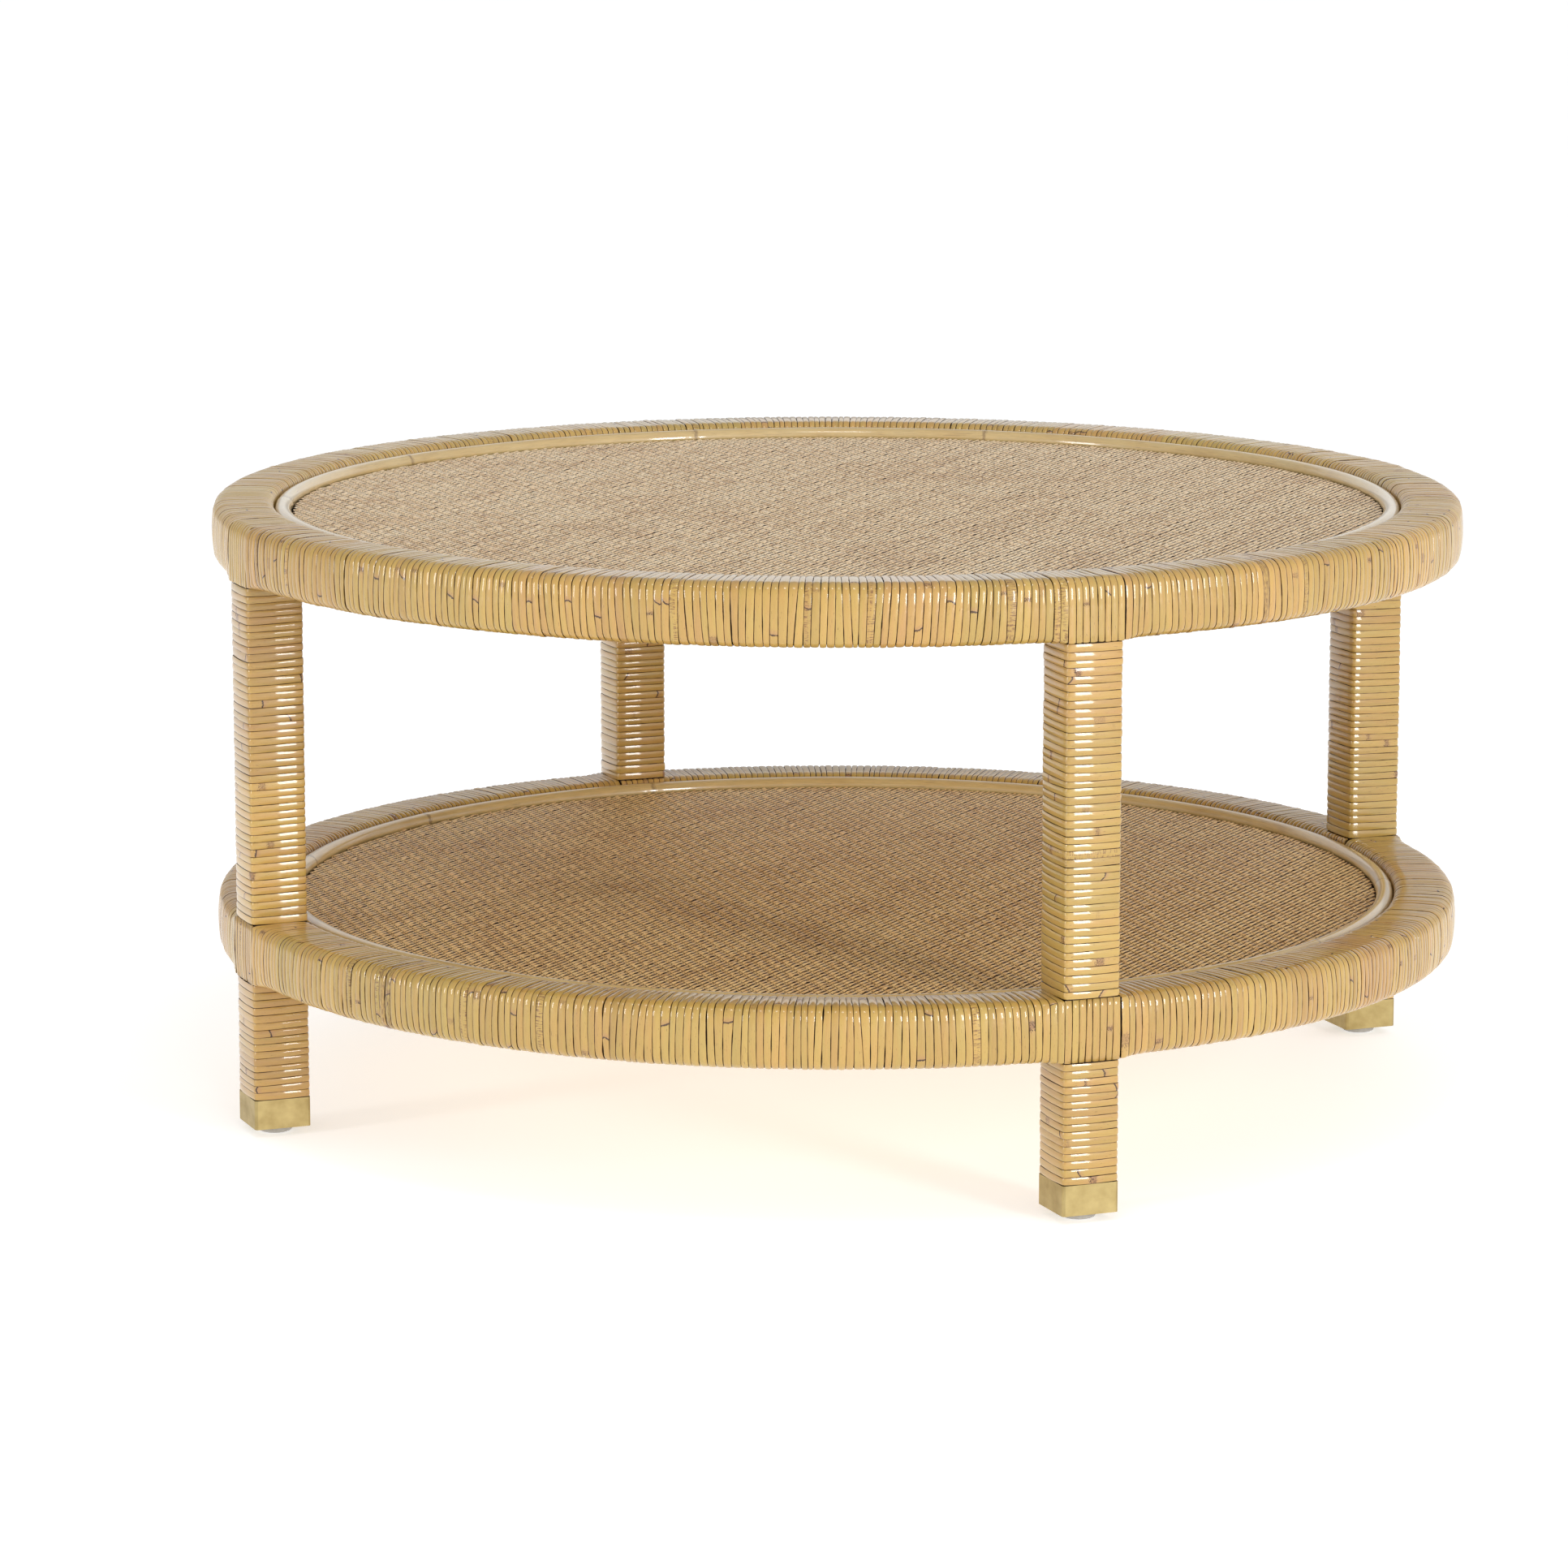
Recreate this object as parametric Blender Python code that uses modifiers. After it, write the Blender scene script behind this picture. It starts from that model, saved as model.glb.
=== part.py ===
"""Round two-tier rattan coffee table, modelled piece by piece.

The origin is on the floor under the table's centre, +Z is up and units are metres.
The four legs stand on the X and Y axes: front at -Y, right at +X, back at +Y, left at -X.
"""

import math

import bmesh
import bpy
from mathutils import Matrix, Vector

MM = 0.001
GAP = 0.3 * MM                     # clearance between pieces that touch

# Overall
TABLE_HEIGHT = 403.0 * MM
LOWER_TIER_TOP = 142.0 * MM        # height of the lower ring's upper face

# Rings: a bent core under a wrapping of rattan peel
RING_STEPS = 64                    # one step spans each leg
RING_OUTER_R = 415.5 * MM
RING_INNER_R = 376.5 * MM
RING_HEIGHT = 40.0 * MM
RING_CORNER_R = 7.0 * MM
PEEL = 1.7 * MM                    # thickness of every wrapping

# Legs: a square post, wrapped, with a brass sabot and a nailed glide
LEG_CENTRE_R = 397.8 * MM
LEG_WIDTH = 37.0 * MM
LEG_EDGE_R = 2.5 * MM
POST_WIDTH = LEG_WIDTH - 2 * (PEEL + GAP)
LAP_R = 396.0 * MM                 # where post and ring core halve into each other
JOINT_FACE_R = 417.0 * MM          # outer face of the wrapping over each joint

SABOT_WIDTH = 37.8 * MM
SABOT_BOTTOM = 5.4 * MM
SABOT_TOP = 24.8 * MM
SABOT_WALL = 1.9 * MM
SABOT_EDGE_R = 1.8 * MM

GLIDE_R = 11.5 * MM
GLIDE_HEIGHT = SABOT_BOTTOM - GAP
GLIDE_FLAT_R = 9.0 * MM
GLIDE_SOCKET_DEPTH = 3.0 * MM
NAIL_R = 1.2 * MM
NAIL_LENGTH = 26.0 * MM

# Panel of each tier, measured down from the ring's upper face
PANEL_R = 363.4 * MM
WEAVE_DROP = 9.2 * MM
WEAVE_THICKNESS = 2.9 * MM
BOARD_THICKNESS = 6.0 * MM
BEAD_R = 6.2 * MM
BEAD_CENTRE_R = 370.0 * MM
BEAD_DROP = 8.7 * MM               # down to the bead's centre
HOOP_INNER_R = 352.0 * MM
HOOP_DEPTH = 12.3 * MM             # height of the hoop under the board
LOWER_PANEL_RISE = 1.5 * MM        # the lower panel sits this much higher in its ring

# Pan head screws that tie hoop, ring core and post together
SCREW_R = 3.0 * MM
SCREW_LENGTH = 55.0 * MM
SCREW_HEAD_R = 5.5 * MM
SCREW_HEAD_HEIGHT = 4.0 * MM
SCREW_SLOT = 1.2 * MM
SCREW_SIDES = 8

STEP_ANGLE = 2 * math.pi / RING_STEPS
END_GAP_ANGLE = GAP / RING_INNER_R
LEGS = {"right": 0.0, "back": 90.0, "left": 180.0, "front": 270.0}
QUARTERS = {"back_right": 0.0, "back_left": 90.0, "front_left": 180.0, "front_right": 270.0}

MATERIALS = {
    # name: (colour, roughness, metallic)
    "rattan_peel": ((0.62, 0.42, 0.18), 0.35, 0.0),
    "rattan_core": ((0.66, 0.50, 0.31), 0.60, 0.0),
    "hardwood": ((0.45, 0.30, 0.17), 0.65, 0.0),
    "plywood": ((0.60, 0.45, 0.28), 0.70, 0.0),
    "brass": ((0.72, 0.50, 0.22), 0.30, 1.0),
    "grey_plastic": ((0.42, 0.42, 0.40), 0.50, 0.0),
    "steel": ((0.55, 0.55, 0.55), 0.35, 1.0),
}


# Scene helpers

def clear_scene():
    for obj in list(bpy.data.objects):
        bpy.data.objects.remove(obj, do_unlink=True)


def new_collection(name):
    collection = bpy.data.collections.new(name)
    bpy.context.scene.collection.children.link(collection)
    return collection


def new_object(name, mesh, collection):
    obj = bpy.data.objects.new(name, mesh)
    collection.objects.link(obj)
    return obj


def material(name):
    """Principled material of this name, made the first time it is asked for."""
    found = bpy.data.materials.get(name)
    if found:
        return found
    colour, roughness, metallic = MATERIALS[name]
    made = bpy.data.materials.new(name)
    made.use_nodes = True
    shader = made.node_tree.nodes["Principled BSDF"]
    shader.inputs["Base Color"].default_value = (*colour, 1.0)
    shader.inputs["Roughness"].default_value = roughness
    shader.inputs["Metallic"].default_value = metallic
    made.diffuse_color = (*colour, 1.0)
    return made


def mesh_from_bmesh(name, shape):
    mesh = bpy.data.meshes.new(name)
    shape.to_mesh(mesh)
    shape.free()
    return mesh


# Outlines, as (radius, height) points that run down their outer side

def corner_arc(centre, radius, start, steps=2):
    """Quarter arc, clockwise from the start angle in degrees; a zero radius is a sharp corner."""
    if radius == 0.0:
        return [centre]
    angles = [math.radians(start - 90.0 * i / steps) for i in range(steps + 1)]
    return [(centre[0] + radius * math.cos(a), centre[1] + radius * math.sin(a)) for a in angles]


def ring_outline(inner, outer, low, high, corner, outer_top=None, outer_bottom=None, steps=1):
    """Rectangle with rounded corners; the two outer corners can have radii of their own."""
    top = corner if outer_top is None else outer_top
    bottom = corner if outer_bottom is None else outer_bottom
    points = corner_arc((outer - top, high - top), top, 90.0, steps)
    points += corner_arc((outer - bottom, low + bottom), bottom, 0.0, steps)
    points += corner_arc((inner + corner, low + corner), corner, -90.0, steps)
    points += corner_arc((inner + corner, high - corner), corner, -180.0, steps)
    return points


def circle_outline(centre_r, centre_z, radius, sides):
    angles = [math.pi / sides * (1 - 2 * i) for i in range(sides)]
    return [(centre_r + radius * math.cos(a), centre_z + radius * math.sin(a)) for a in angles]


# Modelling steps

def profile_mesh(name, points, closed):
    verts = [(x, 0.0, z) for x, z in points]
    edges = [(i, i + 1) for i in range(len(verts) - 1)]
    if closed:
        edges.append((len(verts) - 1, 0))
    mesh = bpy.data.meshes.new(name)
    mesh.from_pydata(verts, edges, [])
    return mesh


def turned(name, points, collection, steps=RING_STEPS, angle=2 * math.pi, start=0.0, closed=True):
    """Turn a profile about Z through the angle, from the start angle anticlockwise."""
    obj = new_object(name, profile_mesh(name, points, closed), collection)
    obj.rotation_euler.z = start
    screw = obj.modifiers.new("turn", "SCREW")
    screw.axis = "Z"
    screw.angle = angle
    screw.steps = steps
    screw.render_steps = steps
    screw.use_merge_vertices = angle == 2 * math.pi
    screw.merge_threshold = 0.01 * MM
    return obj


def add_shell(obj, thickness):
    """Thicken an open surface inwards."""
    shell = obj.modifiers.new("shell", "SOLIDIFY")
    shell.thickness = thickness
    shell.offset = -1.0
    shell.use_even_offset = True


def add_cut(obj, cutter):
    cut = obj.modifiers.new("cut_" + cutter.name, "BOOLEAN")
    cut.operation = "DIFFERENCE"
    cut.solver = "EXACT"
    cut.object = cutter


def box_shape(low, high, edge_r=0.0, open_top=False, open_bottom=False):
    """Box between two corners, with rounded vertical edges and optional open ends."""
    shape = bmesh.new()
    size = Vector(high) - Vector(low)
    centre = (Vector(high) + Vector(low)) / 2
    bmesh.ops.create_cube(shape, size=1.0)
    bmesh.ops.scale(shape, vec=size, verts=shape.verts)
    bmesh.ops.translate(shape, vec=centre, verts=shape.verts)
    if edge_r > 0.0:
        upright = [e for e in shape.edges if abs(e.verts[0].co.z - e.verts[1].co.z) > GAP]
        bmesh.ops.bevel(shape, geom=upright, offset=edge_r, segments=2, profile=0.5, affect="EDGES")
    shape.normal_update()
    ends = [f for f in shape.faces
            if (open_top and f.normal.z > 0.9) or (open_bottom and f.normal.z < -0.9)]
    bmesh.ops.delete(shape, geom=ends, context="FACES")
    return shape


def make_cutter(name, mesh, collection):
    cutter = new_object(name, mesh, collection)
    cutter.hide_render = True
    cutter.display_type = "WIRE"
    return cutter


def evaluated_mesh(obj, name):
    """The object's mesh with its modifiers and rotation applied; the object is removed."""
    bpy.context.view_layer.update()
    graph = bpy.context.evaluated_depsgraph_get()
    mesh = bpy.data.meshes.new_from_object(obj.evaluated_get(graph))
    mesh.transform(obj.matrix_world)
    mesh.name = name
    bpy.data.objects.remove(obj, do_unlink=True)
    return mesh


def around_legs(prefix, mesh, material_name, table):
    """One object per leg, all sharing the mesh that was made for the right leg."""
    mesh.materials.clear()
    mesh.materials.append(material(material_name))
    mesh.shade_smooth()
    mesh.set_sharp_from_angle(angle=math.radians(35.0))
    for side, degrees in LEGS.items():
        obj = new_object(f"{prefix}_{side}", mesh, table)
        obj.rotation_euler.z = math.radians(degrees)


def finish_ring_piece(obj, material_name):
    obj.data.materials.append(material(material_name))


# Cutters

def repeated_shape(shape):
    """Copy a shape made at the right leg to all four legs, as one mesh."""
    first = list(shape.verts) + list(shape.edges) + list(shape.faces)
    for degrees in list(LEGS.values())[1:]:
        copy = bmesh.ops.duplicate(shape, geom=first)["geom"]
        verts = [part for part in copy if isinstance(part, bmesh.types.BMVert)]
        bmesh.ops.rotate(shape, cent=(0, 0, 0), matrix=Matrix.Rotation(math.radians(degrees), 3, "Z"),
                         verts=verts)
    return shape


def screw_hole_shape(height):
    """Round hole on the right leg's radial axis, from inside the hoop into the post."""
    start = HOOP_INNER_R - 10 * MM
    end = HOOP_INNER_R + SCREW_LENGTH + 1 * MM
    placed = (Matrix.Translation(((start + end) / 2, 0.0, height))
              @ Matrix.Rotation(math.pi / 2, 4, "Y"))
    shape = bmesh.new()
    radius = SCREW_R + GAP
    bmesh.ops.create_cone(shape, cap_ends=True, segments=SCREW_SIDES, radius1=radius, radius2=radius,
                          depth=end - start, matrix=placed)
    return shape


def lap_shape(tier_top):
    """Notch in the ring core for the post's outer half."""
    half = POST_WIDTH / 2 + GAP
    return box_shape((LAP_R - GAP, -half, tier_top - RING_HEIGHT),
                     (RING_OUTER_R + 10 * MM, half, tier_top))


def post_notch_shape(tier_top):
    """Notch in the post's inner half for the ring core."""
    low, high = core_heights(tier_top)
    half = POST_WIDTH / 2 + 1 * MM
    return box_shape((LEG_CENTRE_R - POST_WIDTH, -half, low - GAP), (LAP_R, half, high + GAP))


def leg_hole_shape(low, high):
    """Square hole that lets the post through a joint wrapping."""
    half = POST_WIDTH / 2 + GAP
    return box_shape((LEG_CENTRE_R - half, -half, low), (LEG_CENTRE_R + half, half, high))


# Rings and panels

def core_heights(tier_top):
    cover = PEEL + GAP
    return tier_top - RING_HEIGHT + cover, tier_top - cover


def make_ring_core(tier, tier_top, hole_height, table, cutters):
    low, high = core_heights(tier_top)
    cover = PEEL + GAP
    corner = RING_CORNER_R - (2 - math.sqrt(2)) * cover     # keeps the bevelled corners parallel
    outline = ring_outline(RING_INNER_R + cover, RING_OUTER_R - cover, low, high, corner)
    core = turned(f"{tier}_ring_core", outline, table, start=STEP_ANGLE / 2)
    laps = mesh_from_bmesh(f"{tier}_laps", repeated_shape(lap_shape(tier_top)))
    holes = mesh_from_bmesh(f"{tier}_core_holes", repeated_shape(screw_hole_shape(hole_height)))
    add_cut(core, make_cutter(f"{tier}_laps", laps, cutters))
    add_cut(core, make_cutter(f"{tier}_core_holes", holes, cutters))
    finish_ring_piece(core, "hardwood")


def make_ring_wraps(tier, tier_top, table):
    """Four open-ended lengths of wrapping, from leg to leg."""
    outline = ring_outline(RING_INNER_R, RING_OUTER_R, tier_top - RING_HEIGHT, tier_top, RING_CORNER_R)
    steps = RING_STEPS // 4 - 1
    for quarter, degrees in QUARTERS.items():
        start = math.radians(degrees) + STEP_ANGLE / 2
        wrap = turned(f"{tier}_wrap_{quarter}", outline, table, steps, steps * STEP_ANGLE, start)
        add_shell(wrap, PEEL)
        finish_ring_piece(wrap, "rattan_peel")


def make_joint_wraps(tier, tier_top, hole_height, square_top, table, cutters):
    """Wrapping over each joint of post and ring, flat on its outer face."""
    flat = math.cos(STEP_ANGLE / 2)
    outline = ring_outline(RING_INNER_R, JOINT_FACE_R / flat, tier_top - RING_HEIGHT, tier_top,
                           RING_CORNER_R, 0.0 if square_top else RING_CORNER_R, 0.0)
    angle = STEP_ANGLE - 2 * END_GAP_ANGLE
    wrap = turned("joint_wrap", outline, cutters, 1, angle, -angle / 2)
    add_shell(wrap, PEEL)
    margin = 5 * MM
    hole_top = tier_top + margin if square_top else tier_top - RING_HEIGHT / 2
    leg_hole = mesh_from_bmesh("leg_hole", leg_hole_shape(tier_top - RING_HEIGHT - margin, hole_top))
    screw_hole = mesh_from_bmesh("screw_hole", screw_hole_shape(hole_height))
    add_cut(wrap, make_cutter(f"{tier}_leg_hole", leg_hole, cutters))
    add_cut(wrap, make_cutter(f"{tier}_wrap_hole", screw_hole, cutters))
    around_legs(f"{tier}_joint_wrap", evaluated_mesh(wrap, f"{tier}_joint_wrap"), "rattan_peel", table)


def disc(name, low, high, material_name, table):
    points = [(0.0, high), (PANEL_R, high), (PANEL_R, low), (0.0, low)]
    obj = turned(name, points, table, start=STEP_ANGLE / 2, closed=False)
    finish_ring_piece(obj, material_name)


def make_panel(tier, panel_top, table):
    """Woven sheet on its board, inside the bead."""
    weave_top = panel_top - WEAVE_DROP
    board_top = weave_top - WEAVE_THICKNESS - GAP
    disc(f"{tier}_weave", weave_top - WEAVE_THICKNESS, weave_top, "rattan_core", table)
    disc(f"{tier}_board", board_top - BOARD_THICKNESS, board_top, "plywood", table)
    outline = circle_outline(BEAD_CENTRE_R, panel_top - BEAD_DROP, BEAD_R, 8)
    bead = turned(f"{tier}_bead", outline, table, start=STEP_ANGLE / 2)
    finish_ring_piece(bead, "rattan_peel")


def hoop_heights(panel_top):
    """Bottom of the hoop, its ledge under the board and its rim under the bead."""
    ledge = panel_top - WEAVE_DROP - WEAVE_THICKNESS - BOARD_THICKNESS - 2 * GAP
    return ledge - HOOP_DEPTH, ledge, panel_top - BEAD_DROP - BEAD_R - GAP


def make_support_hoop(tier, panel_top, hole_height, table, cutters):
    low, ledge, rim = hoop_heights(panel_top)
    outer = BEAD_CENTRE_R + BEAD_R
    step = PANEL_R + GAP
    outline = [(outer, rim), (outer, low), (HOOP_INNER_R, low), (HOOP_INNER_R, ledge), (step, ledge),
               (step, rim)]
    hoop = turned(f"{tier}_support_hoop", outline, table, start=STEP_ANGLE / 2)
    holes = mesh_from_bmesh(f"{tier}_hoop_holes", repeated_shape(screw_hole_shape(hole_height)))
    add_cut(hoop, make_cutter(f"{tier}_hoop_holes", holes, cutters))
    finish_ring_piece(hoop, "hardwood")


def make_screws(tier, height, table, cutters):
    """Pan head screws, pointing outwards along the legs' radial axes."""
    head = [(0.0, SCREW_HEAD_HEIGHT), (0.6 * SCREW_HEAD_R, SCREW_HEAD_HEIGHT),
            (SCREW_HEAD_R, 0.4 * SCREW_HEAD_HEIGHT), (SCREW_HEAD_R, 0.0), (SCREW_R, 0.0)]
    shank = [(SCREW_R, 8 * MM - SCREW_LENGTH), (0.0, -SCREW_LENGTH)]
    screw = turned("screw", head + shank, cutters, SCREW_SIDES, closed=False)
    slot_low = SCREW_HEAD_HEIGHT / 2
    slot = box_shape((-SCREW_SLOT / 2, -2 * SCREW_HEAD_R, slot_low),
                     (SCREW_SLOT / 2, 2 * SCREW_HEAD_R, 2 * SCREW_HEAD_HEIGHT))
    add_cut(screw, make_cutter(f"{tier}_screw_slot", mesh_from_bmesh("slot", slot), cutters))
    mesh = evaluated_mesh(screw, f"{tier}_screw")
    placed = (Matrix.Translation((HOOP_INNER_R - 2 * GAP, 0.0, height))
              @ Matrix.Rotation(-math.pi / 2, 4, "Y"))
    mesh.transform(placed)
    around_legs(f"{tier}_screw", mesh, "steel", table)


def make_tier(tier, tier_top, panel_rise, square_top, table, cutters):
    panel_top = tier_top + panel_rise
    hoop_low, hoop_ledge, _ = hoop_heights(panel_top)
    hole_height = (hoop_low + hoop_ledge) / 2
    make_ring_core(tier, tier_top, hole_height, table, cutters)
    make_ring_wraps(tier, tier_top, table)
    make_joint_wraps(tier, tier_top, hole_height, square_top, table, cutters)
    make_panel(tier, panel_top, table)
    make_support_hoop(tier, panel_top, hole_height, table, cutters)
    make_screws(tier, hole_height, table, cutters)
    return hole_height


# Legs

def leg_box(half, low, high, **options):
    return box_shape((LEG_CENTRE_R - half, -half, low), (LEG_CENTRE_R + half, half, high), **options)


def make_posts(hole_heights, table, cutters):
    low = SABOT_BOTTOM + SABOT_WALL + GAP
    high = TABLE_HEIGHT - RING_CORNER_R - 2 * GAP           # clears the rounded edge of the top ring
    shape = leg_box(POST_WIDTH / 2, low, high, edge_r=1.2 * MM)
    post = new_object("post", mesh_from_bmesh("post", shape), cutters)
    for tier, tier_top in (("top", TABLE_HEIGHT), ("lower", LOWER_TIER_TOP)):
        notch = mesh_from_bmesh("notch", post_notch_shape(tier_top))
        hole = mesh_from_bmesh("hole", screw_hole_shape(hole_heights[tier]))
        add_cut(post, make_cutter(f"{tier}_post_notch", notch, cutters))
        add_cut(post, make_cutter(f"{tier}_post_hole", hole, cutters))
    add_cut(post, make_nail_cutter("post_nail_hole", cutters))
    around_legs("post", evaluated_mesh(post, "post"), "hardwood", table)


def make_leg_wraps(table, cutters):
    """Wrapping above and below the lower ring."""
    spans = {
        "upper": (LOWER_TIER_TOP + GAP, TABLE_HEIGHT - RING_HEIGHT - GAP),
        "lower": (SABOT_TOP + GAP, LOWER_TIER_TOP - RING_HEIGHT - GAP),
    }
    for name, (low, high) in spans.items():
        shape = leg_box(LEG_WIDTH / 2, low, high, edge_r=LEG_EDGE_R, open_top=True, open_bottom=True)
        wrap = new_object("leg_wrap", mesh_from_bmesh("leg_wrap", shape), cutters)
        add_shell(wrap, PEEL)
        around_legs(f"{name}_leg_wrap", evaluated_mesh(wrap, f"{name}_leg_wrap"), "rattan_peel", table)


def make_nail_cutter(name, cutters):
    """Hole for the glide's nail, through the sabot's floor and into the post."""
    depth = NAIL_LENGTH + 4 * MM
    radius = NAIL_R + GAP
    shape = bmesh.new()
    bmesh.ops.create_cone(shape, cap_ends=True, segments=8, radius1=radius, radius2=radius, depth=depth,
                          matrix=Matrix.Translation((LEG_CENTRE_R, 0.0, depth / 2)))
    return make_cutter(name, mesh_from_bmesh(name, shape), cutters)


def make_sabots(table, cutters):
    """Brass cap, open at the top, with a small hole in its floor."""
    shape = leg_box(SABOT_WIDTH / 2, SABOT_BOTTOM, SABOT_TOP, edge_r=SABOT_EDGE_R, open_top=True)
    sabot = new_object("sabot", mesh_from_bmesh("sabot", shape), cutters)
    add_shell(sabot, SABOT_WALL)
    add_cut(sabot, make_nail_cutter("sabot_nail_hole", cutters))
    around_legs("sabot", evaluated_mesh(sabot, "sabot"), "brass", table)


def make_glides(table, cutters):
    """Plastic pad with its nail standing in a socket."""
    socket_r = NAIL_R + GAP
    socket_low = GLIDE_HEIGHT - GLIDE_SOCKET_DEPTH
    pad_points = [(0.0, socket_low), (socket_r, socket_low), (socket_r, GLIDE_HEIGHT),
                  (GLIDE_R - 0.5 * MM, GLIDE_HEIGHT), (GLIDE_R, GLIDE_HEIGHT - 0.5 * MM),
                  (GLIDE_R, 2.0 * MM), (GLIDE_R - 0.8 * MM, 0.7 * MM), (GLIDE_FLAT_R, 0.0), (0.0, 0.0)]
    nail_low = socket_low + GAP
    nail_high = nail_low + NAIL_LENGTH
    nail_points = [(0.0, nail_high), (NAIL_R, nail_high - 3 * MM), (NAIL_R, nail_low), (0.0, nail_low)]
    for name, points, steps, finish in (("glide", pad_points, 16, "grey_plastic"),
                                        ("glide_nail", nail_points, 8, "steel")):
        piece = turned(name, points, cutters, steps, closed=False)
        mesh = evaluated_mesh(piece, name)
        mesh.transform(Matrix.Translation((LEG_CENTRE_R, 0.0, 0.0)))
        around_legs(name, mesh, finish, table)


def gather_under_empty(table):
    root = bpy.data.objects.new("table_origin", None)
    bpy.context.scene.collection.objects.link(root)
    for obj in table.objects:
        obj.parent = root


def main():
    clear_scene()
    table = new_collection("rattan_coffee_table")
    cutters = new_collection("cutters")
    hole_heights = {
        "top": make_tier("top", TABLE_HEIGHT, 0.0, False, table, cutters),
        "lower": make_tier("lower", LOWER_TIER_TOP, LOWER_PANEL_RISE, True, table, cutters),
    }
    make_posts(hole_heights, table, cutters)
    make_leg_wraps(table, cutters)
    make_sabots(table, cutters)
    make_glides(table, cutters)
    gather_under_empty(table)


main()
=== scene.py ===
"""Looks of the round rattan table: real strands of peel over the frame, woven panels, brass caps."""
import math
import bpy
import numpy as np
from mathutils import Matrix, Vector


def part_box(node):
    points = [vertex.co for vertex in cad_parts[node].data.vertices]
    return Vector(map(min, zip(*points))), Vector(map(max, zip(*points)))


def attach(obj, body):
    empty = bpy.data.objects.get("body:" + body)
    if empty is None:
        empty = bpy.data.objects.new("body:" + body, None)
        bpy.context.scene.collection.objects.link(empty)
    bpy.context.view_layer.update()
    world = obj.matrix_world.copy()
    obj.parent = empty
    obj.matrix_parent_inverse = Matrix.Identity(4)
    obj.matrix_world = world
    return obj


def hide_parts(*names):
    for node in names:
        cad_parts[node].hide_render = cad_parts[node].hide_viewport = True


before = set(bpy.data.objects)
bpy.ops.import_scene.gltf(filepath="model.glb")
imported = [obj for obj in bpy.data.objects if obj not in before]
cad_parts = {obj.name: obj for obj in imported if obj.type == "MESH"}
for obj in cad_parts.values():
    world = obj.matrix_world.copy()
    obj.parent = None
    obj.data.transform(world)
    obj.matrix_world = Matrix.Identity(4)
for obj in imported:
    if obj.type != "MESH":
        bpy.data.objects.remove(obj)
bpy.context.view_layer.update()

# Lengths are in millimetres until a mesh is made. Angles are in radians.

MM = 0.001
LEGS = {"front": -90.0, "right": 0.0, "back": 90.0, "left": 180.0}
QUARTERS = {"front_right": -90.0, "back_right": 0.0, "back_left": 90.0, "front_left": 180.0}
TIERS = ("top", "lower")


def box_mm(node):
    low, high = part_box(node)
    return np.array(low) / MM, np.array(high) / MM


# Sizes read from the frame

LEG_LOW, LEG_HIGH = box_mm("upper_leg_wrap_right")
LEG_CENTRE = (LEG_LOW[0] + LEG_HIGH[0]) / 2
LEG_HALF = (LEG_HIGH[1] - LEG_LOW[1]) / 2
JOINT_FACE = box_mm("top_joint_wrap_right")[1][0]
PEEL = 1.7                      # thickness of the wrapping
RING_OUTER = box_mm("top_ring_core")[1][0] + PEEL + 0.3
BEAD_LOW, BEAD_HIGH = box_mm("top_bead")
BEAD_RADIUS = (BEAD_HIGH[2] - BEAD_LOW[2]) / 2
BEAD_CENTRE = BEAD_HIGH[0] - BEAD_RADIUS
PANEL_RADIUS = box_mm("top_weave")[1][0]

# Rattan work

STRAND = 4.8                    # width that one turn of peel takes on the rings
LEG_STRAND = 4.87               # and on the legs
STRAND_THICKNESS = 1.1
CROWN = 0.30                    # how far the middle of a strand stands above its edges
JOINT_STRANDS = 8               # turns over one joint
RING_CORNER = 6.6               # bend of the ring's edges
LEG_CORNER = 2.3                # and of the legs' edges
RING_BULGE = 2.1                # how far the middle of the outer face swells
LEG_BOW = 1.0                   # and the middle of each face of a leg
JOINT_HALF = LEG_HALF + 0.3     # half width of the wrapping over a joint
WEAVE_PITCH = 4.05              # from one strand of the weave to the next
WEAVE_TURN = {"top": 0.0, "lower": -3.5}        # degrees that each panel is turned
SHADE_SHEET_DROP = 2.2               # the dark sheet of painted shade lies this far under the weave
NO_MARK = 999.0                 # stands for a strand without a node mark
TURN = 2 * math.pi

rng = np.random.default_rng(4127)


# Mesh making

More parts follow.
